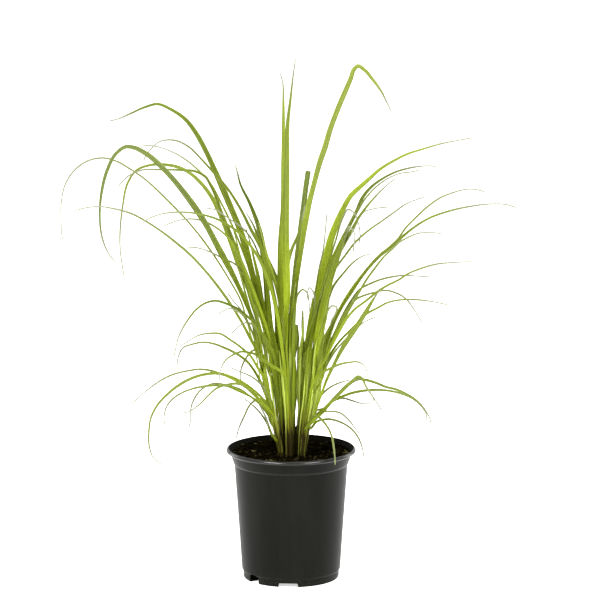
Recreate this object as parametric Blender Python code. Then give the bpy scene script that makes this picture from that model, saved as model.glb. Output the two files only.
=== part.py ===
"""A clump of lemongrass in a black nursery pot.

Metres, +Z up. The origin is the middle of the pot's flat underside, and the front view looks along +Y.
The pot is turned, the soil fills it, the stalks stand in the soil, and each long leaf is a folded blade
that starts beside its stalk. Thin and short leaves are one solid with the stalk that they grow from.
"""
import math
from collections import namedtuple

import bmesh
import bpy
from mathutils import Vector

MM = 0.001

# The pot, in millimetres.
POT_HEIGHT = 167.5
RIM_RADIUS = 82.5
RIM_WIDTH = 4.2
RIM_DEPTH = 5.2
NECK_BOTTOM = 149.0
NECK_BOTTOM_RADIUS = 73.2
NECK_TOP_RADIUS = 77.0
LEDGE = 1.2
FOOT_HEIGHT = 10.5
FOOT_RADIUS = 60.6
WALL_BOTTOM_RADIUS = 62.6
WALL = 1.6
FLOOR = 2.4
POT_SIDES = 40

# The drain slots and the lower arches cut the foot and the floor's edge.
SLOT_HEIGHT = 11.0
SLOT_WIDTH = 17.0
SLOT_DEPTH = 20.0
SLOT_BEARINGS = (219.5, 39.5)
ARCH_HEIGHT = 5.6
ARCH_WIDTH = 25.0
ARCH_DEPTH = 20.0
ARCH_BEARINGS = (266.4, 86.4)

# The soil, in millimetres.
GAP = 0.3
SOIL_TOP = 159.5
SOIL_LUMP = 1.3
CLUMP_RADIUS = 26.0
SOIL_EDGE = 74.6
SOIL_RISE = 2.6
SOIL_RINGS = (0.0, 14.0, CLUMP_RADIUS, 38.0, 50.0, 62.0)

# The plant is drawn on a sheet that stands in the pot's axis and faces the eye of the front view. The sheet
# is 600 points wide and high. Columns run right and rows run down, and one point is POINT wide.
POINT = 1.26
AXIS_COLUMN = 291.0
MIDDLE = 300.0
EYE_DISTANCE = 5000.0
EYE_TILT = math.radians(10.75)
SHEET_MIDDLE_HEIGHT = 358.0

# The blades, in millimetres.
BLADE_THICK = 1.0
BLADE_FOLD = 0.12
ROOT_SHARE = 0.55
THIN_THICK = 0.9
BEND_COST = 55.0
STEP_COST = 46.0
FINE_STEPS = 12
STALK_SIDES = 8

Stalk = namedtuple("Stalk", "foot toward radius line")
Blade = namedtuple("Blade", "stalk start side wide reach turn line")

# Each stalk: the column of its foot, how far its foot and its top stand toward the eye, its radius at the
# foot and at the top, and the columns and rows that it passes through.
STALKS = {
    "stalk_01": Stalk(283, (12, 16), (2.9, 1.9), [
        (279, 436), (275, 420), (271, 403), (267, 385), (262.8, 366)]),
    "stalk_02": Stalk(281, (2, 0), (2.6, 1.7), [(276.5, 432), (272, 415), (267.5, 398), (262.8, 382)]),
    "stalk_03": Stalk(285.5, (6, 4), (3.1, 2.0), [(283, 430), (280.5, 408), (277, 385), (272, 360)]),
    "stalk_04": Stalk(287, (-8, -14), (3.0, 1.9), [(285, 428), (283, 405), (280, 380), (276, 352)]),
    "stalk_05": Stalk(290, (14, 20), (3.4, 2.2), [(290, 430), (288, 405), (286.5, 380), (284, 350)]),
    "stalk_06": Stalk(291, (-14, -24), (3.2, 2.0), [(291.5, 428), (291.5, 400), (291, 370), (290, 340)]),
    "stalk_07": Stalk(293.5, (4, 2), (3.2, 2.0), [(293, 430), (293, 405), (293, 380), (292.5, 350)]),
    "stalk_08": Stalk(298.5, (-6, -12), (3.0, 1.9), [(300.5, 425), (301.5, 400), (302.5, 375), (304, 345)]),
    "stalk_09": Stalk(301, (11, 18), (3.0, 2.0), [
        (302.5, 440), (305, 425), (308.5, 405), (312, 385), (316, 362)]),
    "stalk_10": Stalk(303, (-2, -6), (2.8, 1.8), [(306.5, 432), (310, 415), (314, 397), (318, 378)]),
    "stalk_11": Stalk(300, (-16, -26), (2.8, 1.8), [(304.5, 430), (308, 408), (311, 385), (314, 355)]),
}

# Each leaf: its stalk, how far up the stalk it starts (0 to 1), the side of the stalk that it starts on in
# degrees (0 right, 90 back, 180 left, 270 front), its full width, how far its end reaches toward the eye
# from its stalk, how it is turned at its middle and at its end (0 shows the upper face to the eye, 90 the
# edge, 180 the underside), and the columns and rows that its midrib passes through. A third number there is
# a distance toward the eye where the reach doesn't give it.
LEAVES = {
    "leaf_left_01": Blade("stalk_03", 0.90, 140, 10.5, -60, (38, 58), [
        (268, 338, -1), (261, 308, -3), (252, 276), (241, 235), (228, 203), (215, 173), (205, 151),
        (195, 133), (185, 120), (170, 109.5), (158, 104.5), (145, 107.5), (130, 114), (118, 119),
        (104, 122)]),
    "leaf_left_02": Blade("stalk_01", 0.90, 160, 10.5, 75, (42, 58), [
        (259, 342, 11), (245, 303, 14), (233.5, 278, 19), (218, 249), (203.5, 222), (184, 194), (165, 171.5),
        (145, 154), (134, 148.5), (126, 147.5), (117, 153.5), (108, 170), (102.5, 190), (100, 215),
        (103, 240), (109, 254), (121, 268)]),
    "leaf_left_03": Blade("stalk_04", 0.84, 180, 8.0, -110, (50, 66), [
        (268, 335, -13), (256, 308, -16), (241, 275, -26), (230, 243), (219.5, 215), (210, 196), (200, 183),
        (190, 174), (180, 168.5), (165, 165.2), (150, 165.5), (136, 171), (128, 183), (123, 205),
        (120, 245), (125, 283)]),
    "leaf_left_04": Blade("stalk_02", 0.90, 180, 5.5, -150, (70, 74), [
        (256, 355, -7), (248, 325, -12), (240, 299), (230, 281), (210, 250), (190, 224), (170, 203),
        (142, 177), (130, 169), (118, 162), (104, 158), (90, 160), (72, 173), (65, 185), (61, 205),
        (61, 228), (64, 247)]),
    "leaf_left_05": Blade("stalk_05", 0.80, 180, 7.0, 25, (52, 62), [
        (278, 325), (270, 285), (261, 250), (250, 229), (240, 209), (228, 190), (210, 169), (200, 158),
        (190, 148), (175, 140.5), (160, 141.5), (150, 150), (145, 157), (144, 165)]),
    "leaf_left_06": Blade("stalk_03", 0.70, 200, 7.3, 32, (50, 62), [
        (266, 337, 10), (256, 303, 11), (244, 272), (232, 240), (222, 216), (211, 187), (205, 177),
        (196, 172), (180, 170.3), (160, 169.8), (143, 170), (130, 175), (115, 190)]),
    "leaf_left_07": Blade("stalk_06", 0.80, 180, 8.5, -115, (42, 58), [
        (286, 330), (281, 303), (274, 277), (265.5, 257), (258.8, 230), (249, 203), (240, 184), (236, 168),
        (234, 162)]),
    "leaf_left_08": Blade("stalk_05", 0.62, 235, 6.0, 95, (122, 112), [
        (281, 342, 28), (276, 310), (268, 282), (258, 258), (248, 243), (240, 234), (230, 226.5),
        (216, 219), (203, 215), (188, 212.5), (172, 212.5), (158, 215), (144, 222), (140, 227)]),
    "leaf_left_09": Blade("stalk_03", 0.88, 270, 5.0, 22, (120, 114), [
        (270, 344, 14), (261, 312, 20), (250, 282, 24), (240, 258, 26), (229, 239, 27), (215, 227),
        (203, 221), (190, 219), (178, 220.5), (160, 228)]),
    "leaf_left_10": Blade("stalk_02", 0.66, 250, 6.0, 120, (122, 112), [
        (261, 361, 8), (256, 350, 10), (250, 339, 13), (240, 320), (230, 304), (220, 290), (205, 271),
        (190, 255), (176, 243), (162, 232), (146, 221.5), (132, 214), (115, 209), (98, 206.5), (85, 208),
        (72, 212)]),
    "leaf_left_11": Blade("stalk_04", 0.90, 40, 6.0, -70, (46, 58), [
        (277, 322), (271, 285), (263, 255), (257, 236), (253, 225), (248, 216), (245, 211)]),
    "leaf_left_12": Blade("stalk_03", 0.56, 275, 6.0, 80, (122, 112), [
        (272, 352, 17), (264, 337, 21), (255, 324, 25), (245, 315, 29), (235, 308), (225, 303.5),
        (215, 301), (205, 303.5), (196, 310), (188, 320), (183, 328), (179, 336), (176, 347), (173, 362)]),
    "leaf_left_13": Blade("stalk_01", 0.62, 255, 7.0, 60, (126, 114), [
        (262, 375, 25), (258, 369, 28), (250, 356, 32), (240, 347), (230, 340), (220, 334), (210, 333.5),
        (200, 335), (190, 340), (181, 346)]),
    "leaf_left_14": Blade("stalk_02", 0.50, 100, 7.5, -55, (50, 64), [
        (264, 391, -7), (257, 376, -10), (247, 362, -14), (236, 354), (225, 348.5), (215, 344.5),
        (205, 342.5), (192, 344.5), (183, 348), (178, 358), (177, 372)]),
    "leaf_left_15": Blade("stalk_05", 0.52, 270, 5.5, 85, (120, 112), [
        (283, 374, 31), (270, 365, 36), (260, 358, 40), (250, 353), (241, 352), (233, 355), (225, 361),
        (220, 372), (219.5, 384)]),
    "leaf_left_16": Blade("stalk_02", 0.34, 90, 5.0, -165, (66, 70), [
        (268, 411, -12), (258, 399, -17), (246, 388), (232, 379), (218, 373), (202, 369.5), (185, 371.5),
        (172, 375), (160, 381), (150, 388), (140, 396), (130, 407)]),
    "leaf_left_17": Blade("stalk_01", 0.22, 180, 7.0, 75, (58, 68), [
        (268, 405), (260, 396), (250, 388), (240, 382), (230, 377.5), (218, 374), (204, 375), (190, 379.5),
        (177, 387), (166, 396), (157, 406), (151, 418), (149, 432), (149.5, 447), (153, 457), (160, 463),
        (168, 467)]),
    "leaf_left_18": Blade("stalk_02", 0.28, 215, 5.5, -40, (60, 68), [
        (269, 414, 5), (262, 405, 5), (251, 397, 4), (238, 391, 0), (225, 386), (210, 386), (196, 388),
        (184, 392), (174, 398), (167, 406), (164, 418), (166, 430)]),
    "leaf_left_19": Blade("stalk_01", 0.34, 270, 5.5, 140, (122, 112), [
        (267, 409, 22), (258, 399, 30), (250, 391), (240, 384.5), (227, 385), (216, 389), (208, 396),
        (200, 404), (190, 411), (180, 414)]),
    "leaf_left_20": Blade("stalk_02", 0.18, 90, 5.0, -30, (60, 66), [
        (270, 421, -8), (265, 404, -21), (259, 399, -24), (252, 403, -26), (244, 417, -27), (239, 428, -27),
        (236, 439, -27)]),
    "leaf_middle_01": Blade("stalk_04", 0.84, 320, 9.5, -30, (28, 45), [
        (281.6, 328), (281.4, 300), (280, 270), (280.8, 240), (282.6, 215), (283.2, 190), (283, 160),
        (283, 130), (283, 100), (282, 80), (280, 74), (276, 71)]),
    "leaf_middle_02": Blade("stalk_05", 0.86, 0, 9.0, -6, (24, 45), [
        (287, 328), (287.2, 300), (286.3, 270), (285.6, 230), (286, 190), (286.5, 160), (287.5, 120),
        (290, 100), (293, 75), (296, 56)]),
    "leaf_middle_03": Blade("stalk_06", 0.86, 0, 10.0, -8, (24, 18), [
        (292.3, 322), (294.2, 295), (296.8, 265), (299.8, 240), (302.8, 215), (305.8, 190), (308.5, 171)]),
    "leaf_middle_04": Blade("stalk_07", 0.84, 0, 10.0, 45, (42, 24), [
        (294.5, 322), (296.6, 290), (300, 262), (303.5, 240), (306.5, 222), (310, 203), (314.5, 185),
        (321, 161), (325.8, 147), (330, 132), (335, 118), (340, 105), (345.5, 92), (351, 79), (354.5, 69.5),
        (358, 66.5), (364, 70), (372, 79), (381, 91.5), (388, 105), (394, 117)]),
    "leaf_middle_05": Blade("stalk_06", 0.72, 270, 5.5, 18, (130, 120), [
        (289, 332, -13), (287, 310, -6), (286.5, 285, -3), (289, 262, -2), (293, 248, -2), (298, 236, -3),
        (302, 222, -4), (305, 205, -6)]),
    "leaf_middle_06": Blade("stalk_07", 0.76, 290, 5.5, 14, (122, 112), [
        (294, 330, 11), (295.8, 304, 13), (298, 294.5), (303, 289.7), (307, 293), (309, 302),
        (309.5, 313)]),
    "leaf_middle_07": Blade("stalk_07", 0.70, 112, 6.5, 0, (24, 24), [
        (295.5, 347, -5), (297.2, 337, -7), (296.2, 324.5, -8)]),
    "leaf_right_01": Blade("stalk_08", 0.76, 0, 12.0, -25, (35, 72), [
        (309, 345), (313, 325), (316.5, 303), (320.5, 283), (327, 258), (332, 238), (338, 222), (345, 207),
        (352, 195.5), (360, 188), (370, 179), (380, 170), (395, 160.5), (408, 154), (422, 149.5),
        (440, 144), (460, 140), (477, 137)]),
    "leaf_right_02": Blade("stalk_08", 0.88, 90, 9.0, -120, (46, 64), [
        (308, 340, -18), (314, 320, -21), (321, 296), (333, 262), (343, 240), (350, 226), (357, 212),
        (363, 198), (370, 189), (385, 177.5), (395, 172.5), (408, 168.5), (425, 166), (440, 166.5)]),
    "leaf_right_03": Blade("stalk_09", 0.86, 90, 8.0, 62, (50, 62), [
        (317, 340, 13), (321, 315, 14), (327, 290, 17), (334, 268, 22), (342, 249, 29), (351, 232),
        (359, 218), (370, 203), (380, 192), (390, 182.5), (398, 177)]),
    "leaf_right_04": Blade("stalk_11", 0.84, 135, 5.5, -150, (64, 70), [
        (316, 332, -34), (321, 305, -38), (328, 285), (335, 270), (345, 256), (355, 243), (370, 229.5),
        (382, 221), (394, 212.5), (406, 204), (418, 199), (428, 196)]),
    "leaf_right_05": Blade("stalk_11", 0.88, 0, 6.0, -105, (50, 66), [
        (318, 338), (323, 318), (328, 302), (333, 288), (344, 273), (354, 262), (363, 256), (372, 254)]),
    "leaf_right_06": Blade("stalk_10", 0.84, 0, 7.5, 20, (56, 66), [
        (323, 360), (328, 343), (334.5, 323), (343, 306), (351.5, 293), (360, 280), (370, 267),
        (380, 256.5), (390, 248.5), (400, 239.5), (415, 227), (430, 218), (445, 212.5), (470, 206.5),
        (490, 204), (508, 205), (521, 210)]),
    "leaf_right_07": Blade("stalk_10", 0.72, 290, 6.5, 65, (124, 112), [
        (326, 362), (331, 347), (338, 331.5), (345.5, 317), (352.7, 304), (359, 293), (366, 281),
        (375, 268.5), (384, 257), (393, 248.5), (400, 242), (406, 238.5), (418, 233.5), (432, 232.5),
        (447, 235)]),
    "leaf_right_08": Blade("stalk_11", 0.78, 90, 5.5, -170, (66, 70), [
        (321, 345), (330, 328), (338, 313), (345, 300), (352, 289), (360, 278), (370, 265.5), (380, 255),
        (390, 247), (399, 238), (405, 229), (416, 217.5), (428, 206.5), (440, 198), (452, 193),
        (465, 189.5), (476, 189.5), (488, 193)]),
    "leaf_right_09": Blade("stalk_09", 0.74, 0, 7.5, 100, (56, 64), [
        (324, 362), (332, 346), (340, 331), (347, 319), (355, 309.5), (365, 302), (382, 289), (389, 285),
        (399, 280), (408, 274), (420, 269), (438, 264), (455, 262.5), (476, 261.5)]),
    "leaf_right_10": Blade("stalk_11", 0.70, 30, 5.5, -90, (62, 66), [
        (321, 360), (328, 347), (335, 333), (345, 312), (352, 300), (360, 289.5), (370, 284), (380, 280),
        (392, 277), (404, 275.5), (415, 276), (433, 277)]),
    "leaf_right_11": Blade("stalk_11", 0.62, 300, 5.0, -35, (118, 110), [
        (321, 366), (331, 345), (339, 326), (348, 309), (357, 299), (366, 295), (375, 292.5), (385, 290.5),
        (396, 293), (406, 299), (413, 308), (424, 326)]),
    "leaf_right_12": Blade("stalk_10", 0.60, 75, 5.5, -20, (62, 68), [
        (322, 376), (325, 367), (332, 352.5), (342, 339), (350, 331), (358, 323), (367, 314), (377, 308.5),
        (387, 303), (396, 300.6), (408, 299.6), (425, 300.6), (442, 303.6), (452, 306)]),
    "leaf_right_13": Blade("stalk_09", 0.26, 40, 10.0, 55, (60, 20), [
        (313, 418), (318, 405), (323, 391), (328, 378), (334.5, 365), (340.6, 353), (348, 340.6),
        (357.6, 326), (365, 314), (374.5, 298), (380.6, 289.7)]),
    "leaf_right_14": Blade("stalk_09", 0.56, 270, 5.5, 90, (122, 112), [
        (315, 381), (322.4, 373), (331, 368.5), (340.6, 364.3), (350, 362.4), (357.6, 362), (363.6, 365),
        (366.7, 371), (367.5, 379)]),
    "leaf_right_15": Blade("stalk_09", 0.18, 315, 7.0, 60, (122, 112), [
        (313, 422, 19), (321, 414.5, 22), (328.5, 406), (335.8, 397.6), (344, 389), (352.7, 380.6),
        (358.8, 376.6), (363, 379.5), (365, 385), (368, 390), (373, 398), (374.5, 406)]),
    "leaf_right_16": Blade("stalk_10", 0.36, 0, 6.5, 10, (60, 66), [
        (320, 412), (328, 405), (335.5, 398.5), (344, 390), (351, 383.5), (358, 379.8), (367, 380.6),
        (377, 383.6), (385, 387), (396, 389.7), (406, 394), (415.8, 400), (424, 408.5), (430, 419),
        (431.5, 430)]),
    "leaf_right_17": Blade("stalk_10", 0.24, 60, 6.0, -50, (60, 66), [
        (316, 416), (323.6, 409.7), (331, 402.6), (340.6, 397.6), (352.7, 393.3), (365, 391), (377, 390.3),
        (389, 391), (400, 393.5), (412, 398.5), (421, 406), (426, 414), (427, 425.5)]),
    "leaf_right_18": Blade("stalk_11", 0.30, 100, 5.0, -110, (64, 68), [
        (314, 404), (318, 399), (323.6, 393), (331, 387), (340.6, 382.5), (350, 380)]),
    "leaf_right_19": Blade("stalk_11", 0.12, 60, 5.0, -50, (64, 68), [
        (310, 429), (317, 422), (326, 419.5), (335.8, 420.6), (344, 424), (352.7, 430.3), (358.8, 438.8),
        (362.4, 448.5), (364, 458)]),
    "leaf_right_20": Blade("stalk_09", 0.14, 250, 5.0, 66, (124, 118), [
        (308, 426, 24), (312, 419, 30), (316, 416, 34), (320, 418.5, 38), (325, 424, 44), (329, 430, 50),
        (332, 438, 57), (333.6, 447, 64), (334.4, 454, 70), (335, 460, 75), (335, 465, 77)]),
}

# Thin and short leaves, which are one solid with their stalk.
THIN_LEAVES = [
    Blade("stalk_04", 0.86, 180, 4.5, -130, (62, 68), [
        (273, 345, -22), (267.5, 328, -31), (250, 272, -46), (236, 235), (222, 205), (210, 183), (200, 172),
        (180, 156), (165, 149), (150, 145.5), (136, 147)]),
    Blade("stalk_04", 0.92, 225, 4.5, 30, (62, 68), [
        (274, 345, -6), (266, 330, -8), (258, 306, -9), (248, 283, -9), (237, 266, -8), (222, 258),
        (210, 252), (198, 248), (184, 247)]),
    Blade("stalk_02", 0.40, 180, 4.5, -110, (64, 68), [
        (259, 404, -9.5), (248, 395, -18), (236, 388), (225, 385), (215, 383.5), (205, 387), (196, 396),
        (191, 408), (190.5, 420), (188, 431)]),
    Blade("stalk_01", 0.97, 180, 4.0, 30, (60, 66), [
        (264, 357, 20), (256, 349.5, 23), (251, 352, 23), (247, 357, 23), (243, 364, 23), (241, 370, 23),
        (241, 383, 24)]),
    Blade("stalk_01", 0.97, 180, 3.6, 45, (62, 66), [
        (261, 346, 27), (256, 329, 31), (249, 323, 33), (245, 323, 34), (238, 327, 36), (231, 334, 38)]),
    Blade("stalk_01", 0.42, 180, 3.6, 50, (66, 68), [
        (266, 392, 27), (262, 386, 31), (252, 377, 34), (241, 372, 37), (229, 367, 40)]),
    Blade("stalk_02", 0.94, 180, 3.6, 30, (58, 62), [
        (258, 355, 0), (250, 327, -1), (241, 310, -2), (234, 302, -3), (227, 292, -5)]),
    Blade("stalk_01", 0.96, 180, 3.6, 40, (62, 66), [
        (257, 345, 34), (250, 328, 40), (240, 313, 44), (229, 308.5, 47), (225, 310, 48), (217, 315, 50)]),
    Blade("stalk_02", 0.12, 180, 3.8, 12, (60, 64), [
        (271, 434), (267, 424), (260, 413), (250, 403), (243, 398)]),
    Blade("stalk_01", 0.10, 200, 3.8, 30, (58, 62), [
        (272, 434), (265, 416), (258, 403)]),
    Blade("stalk_08", 0.96, 0, 3.8, 20, (64, 68), [
        (313, 318, -2), (326, 282, 4), (342, 250, 8), (354, 229), (364, 212), (375, 208.5), (391, 207)]),
    Blade("stalk_08", 0.90, 0, 4.2, 45, (60, 66), [
        (314, 318, 5), (324, 280, 12), (336, 240, 18), (343, 218), (348.5, 209.5), (354, 213), (358, 222),
        (360, 233), (359, 246)]),
    Blade("stalk_09", 0.94, 0, 4.0, 60, (60, 66), [
        (319, 335, 24), (327, 300, 29), (338, 262, 34), (346, 238, 40), (351, 228), (354.3, 233),
        (354, 245), (352, 257)]),
    Blade("stalk_11", 0.33, 0, 4.0, -35, (60, 64), [
        (316, 411, -18), (325, 408, -22), (334, 401, -26), (343, 398.5, -30), (352.7, 401, -34),
        (362, 403.6, -37), (372, 404, -40)]),
    Blade("stalk_10", 0.20, 0, 4.5, 30, (58, 62), [
        (314, 418, 3), (322, 411, 7), (336, 396, 10), (352, 381.5, 14), (360, 378.5, 17), (367, 388),
        (374.5, 399), (379, 406), (383, 412.7)]),
    Blade("stalk_11", 0.26, 45, 4.0, -110, (66, 68), [
        (315, 416), (323.6, 412), (332, 411.5), (340.6, 413.3), (348, 419.4), (355, 428), (360, 435)]),
    Blade("stalk_08", 0.92, 0, 4.0, 28, (58, 62), [
        (310, 325, 14), (315, 305, 24), (314.6, 296, 26), (312.6, 290.5, 27), (309.6, 287.6, 27),
        (307.6, 291, 27), (307.6, 300, 27)]),
    Blade("stalk_09", 0.98, 0, 4.0, 35, (60, 64), [
        (321, 337, 31), (326, 320, 36), (328.5, 310, 38), (332, 306, 39), (336.5, 307, 40),
        (335.5, 313, 40), (331.5, 320, 40), (329.5, 327, 40)]),
    Blade("stalk_08", 0.98, 180, 3.6, 4, (40, 45), [
        (302, 330), (302, 311)]),
    Blade("stalk_08", 0.94, 0, 4.4, -60, (56, 64), [
        (309, 335, -5), (317, 303, -3), (330, 266, -3), (342, 240, -5), (350, 226), (358, 211), (366, 198),
        (375, 188), (388, 178.5), (400, 173.5), (412, 171.8), (424, 168.8)]),
    Blade("stalk_08", 0.94, 0, 3.4, 16, (60, 66), [
        (308, 330, -2), (315, 295, 8), (320, 265, 10), (323, 252, 10), (325, 235, 10), (327, 212, 9)]),
    Blade("stalk_05", 0.92, 180, 3.6, 18, (60, 66), [
        (280, 320, 12), (270, 286, 12), (260, 258, 16), (250, 237, 22), (240, 226, 28), (231, 220, 32),
        (225, 216, 34), (216, 210, 36), (204, 208, 38)]),
    Blade("stalk_09", 0.62, 0, 4.2, 6, (60, 66), [
        (322, 380, 14), (326, 368, 12), (335, 352, 12), (347, 338, 14), (355, 330, 16), (363, 323, 18),
        (377, 316.5, 20)]),
]

# The leaves that a blade cut across the top, so that they end at nearly their full width.
CUT_LEAVES = ("leaf_middle_03", "leaf_middle_07")


def clear_scene():
    """Removes whatever objects the file holds."""
    for old in list(bpy.data.objects):
        bpy.data.objects.remove(old, do_unlink=True)


def make_material(name, color, roughness):
    """A plain surface of one colour."""
    material = bpy.data.materials.new(name)
    material.use_nodes = True
    shader = material.node_tree.nodes["Principled BSDF"]
    shader.inputs["Base Color"].default_value = (*color, 1.0)
    shader.inputs["Roughness"].default_value = roughness
    shader.inputs["Metallic"].default_value = 0.0
    return material


def add_solid(name, corners, faces, material):
    """One named object from corners in millimetres and the faces between them."""
    mesh = bpy.data.meshes.new(name)
    mesh.from_pydata([Vector(corner) * MM for corner in corners], [], faces)
    shell = bmesh.new()
    shell.from_mesh(mesh)
    bmesh.ops.recalc_face_normals(shell, faces=shell.faces)
    shell.to_mesh(mesh)
    shell.free()
    mesh.shade_smooth()
    mesh.set_sharp_from_angle(angle=math.radians(40))
    mesh.materials.append(material)
    solid = bpy.data.objects.new(name, mesh)
    bpy.context.scene.collection.objects.link(solid)
    return solid


def as_tool(solid):
    """Marks a solid that only cuts or joins another one."""
    solid.hide_render = True
    solid.display_type = "WIRE"
    return solid


def add_boolean(solid, tool, operation):
    """Cuts a tool from a solid, or joins it to the solid."""
    change = solid.modifiers.new(operation.title(), "BOOLEAN")
    change.operation = operation
    change.solver = "EXACT"
    change.object = tool


def on_sheet_line(column, row, toward):
    """The point that the front view shows at a column and row, on the upright plane at y = -toward."""
    rise = Vector((0.0, math.sin(EYE_TILT), math.cos(EYE_TILT)))
    back = Vector((0.0, -math.cos(EYE_TILT), math.sin(EYE_TILT)))
    middle = Vector(((MIDDLE - AXIS_COLUMN) * POINT, 0.0, SHEET_MIDDLE_HEIGHT))
    eye = middle + back * EYE_DISTANCE
    drawn = middle + Vector(((column - MIDDLE) * POINT, 0.0, 0.0)) + rise * ((MIDDLE - row) * POINT)
    sight = drawn - eye
    return eye + sight * ((-toward - eye.y) / sight.y)


def smooth_curve(points):
    """Closely spaced points on a smooth curve through the given ones."""
    steps = [(after - before).length for before, after in zip(points, points[1:])]
    slopes = [(after - before) / step for before, after, step in zip(points, points[1:], steps)]
    tangents = [slopes[0]]
    for before, after, low, high in zip(slopes, slopes[1:], steps, steps[1:]):
        tangents.append((before * high + after * low) / (low + high))
    tangents.append(slopes[-1])
    curve = []
    for index, step in enumerate(steps):
        for fine in range(FINE_STEPS):
            t = fine / FINE_STEPS
            curve.append(points[index] * (2 * t**3 - 3 * t**2 + 1)
                         + tangents[index] * (step * (t**3 - 2 * t**2 + t))
                         + points[index + 1] * (3 * t**2 - 2 * t**3)
                         + tangents[index + 1] * (step * (t**3 - t**2)))
    curve.append(points[-1])
    return curve


def running_cost(curve, bend_cost):
    """How much of the curve lies behind each point: its length, and more where it bends."""
    cost = [0.0]
    for index in range(1, len(curve)):
        step = (curve[index] - curve[index - 1]).length
        bend = 0.0
        if index > 1:
            bend = (curve[index] - curve[index - 1]).angle(curve[index - 1] - curve[index - 2], 0.0)
        cost.append(cost[-1] + step + bend_cost * bend)
    return cost


def place_at(curve, cost, value):
    """The point of the curve where its running cost has the given value."""
    for index in range(1, len(cost)):
        if cost[index] >= value or index == len(cost) - 1:
            share = (value - cost[index - 1]) / max(cost[index] - cost[index - 1], 1e-9)
            return curve[index - 1].lerp(curve[index], min(max(share, 0.0), 1.0))
    return curve[-1]


def stalk_curve(stalk):
    """The stalk's middle line, from the soil up."""
    foot = Vector(((stalk.foot - AXIS_COLUMN) * POINT, -stalk.toward[0], SOIL_TOP + GAP))
    points = [foot]
    count = len(stalk.line)
    for index, (column, row) in enumerate(stalk.line):
        share = (index + 1) / count
        toward = stalk.toward[0] + (stalk.toward[1] - stalk.toward[0]) * share
        points.append(on_sheet_line(column, row, toward))
    return smooth_curve(points)


def stalk_place(stalk, share):
    """The middle point and the radius of a stalk at a share of its length."""
    curve = stalk_curve(stalk)
    length = running_cost(curve, 0.0)
    radius = stalk.radius[0] + (stalk.radius[1] - stalk.radius[0]) * share
    return place_at(curve, length, length[-1] * share), radius


def blade_curve(blade, grown_in):
    """The blade's midrib. It starts beside its stalk, or in its middle where it is grown in."""
    stalk = STALKS[blade.stalk]
    bearing = math.radians(blade.side)
    outward = Vector((math.cos(bearing), math.sin(bearing), 0.0))
    points = []
    for share in (blade.start, min(blade.start + 0.10, 1.0)):
        middle, radius = stalk_place(stalk, share)
        distance = 0.0 if grown_in else radius + GAP + BLADE_THICK
        points.append(middle + outward * distance)
        if grown_in:
            break
    root_toward = -points[-1].y
    root_column = AXIS_COLUMN + points[-1].x / POINT
    travel = [0.0]
    before = (root_column, blade.line[0][1])
    for place in blade.line:
        travel.append(travel[-1] + abs(place[0] - before[0]) + 0.25 * abs(place[1] - before[1]))
        before = place
    for place, distance in zip(blade.line, travel[1:]):
        toward = root_toward + blade.reach * distance / travel[-1]
        if len(place) == 3:
            toward = place[2]
        points.append(on_sheet_line(place[0], place[1], toward))
    return smooth_curve(points)


def ease(low, high, value):
    """0 below low, 1 above high, and a smooth rise between."""
    share = min(max((value - low) / (high - low), 0.0), 1.0)
    return share * share * (3 - 2 * share)


def blade_width(blade, share, cut):
    """The blade's width at a share of its length."""
    swell = ROOT_SHARE + (1 - ROOT_SHARE) * ease(0.0, 0.3, share)
    if cut:
        return blade.wide * swell * (1 - 0.3 * share)
    taper = 1 - max(0.0, (share - 0.3) / 0.7) ** 1.9
    return blade.wide * swell * taper


def blade_turn(blade, share, leans_left, grown_in):
    """The angle between the blade's upper face and the eye, in radians."""
    bearing = math.radians(blade.side)
    lean = 1.0 if leans_left else -1.0
    root = math.atan2(-math.cos(bearing) * lean, math.sin(bearing))
    middle, end = (math.radians(turn) for turn in blade.turn)
    if grown_in:
        root = middle
    elif root < middle - math.pi:
        root += 2 * math.pi
    if share < 0.35:
        return root + (middle - root) * ease(0.02, 0.35, share)
    return middle + (end - middle) * ease(0.35, 1.0, share)


def blade_frames(blade, grown_in, cut):
    """Middle point, side, face and width of the blade at each of its sections."""
    curve = blade_curve(blade, grown_in)
    cost = running_cost(curve, BEND_COST)
    length = running_cost(curve, 0.0)
    sections = max(5, round(cost[-1] / STEP_COST))
    farthest = max((point.x - curve[0].x for point in curve), key=abs)
    leans_left = farthest < 0
    to_eye = Vector((0.0, -math.cos(EYE_TILT), math.sin(EYE_TILT)))
    frames = []
    for section in range(sections + 1):
        value = cost[-1] * section / sections
        middle = place_at(curve, cost, value)
        ahead = place_at(curve, cost, min(value + 4.0, cost[-1]))
        behind = place_at(curve, cost, max(value - 4.0, 0.0))
        along = (ahead - behind).normalized()
        share = place_at([Vector((step, 0, 0)) for step in length], cost, value).x / length[-1]
        facing = (to_eye - along * along.dot(to_eye)).normalized()
        upper = along.cross(facing) * (1.0 if leans_left else -1.0)
        turn = blade_turn(blade, share, leans_left, grown_in)
        face = facing * math.cos(turn) + upper * math.sin(turn)
        frames.append((middle, face.cross(along), face, blade_width(blade, share, cut)))
    return frames


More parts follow.
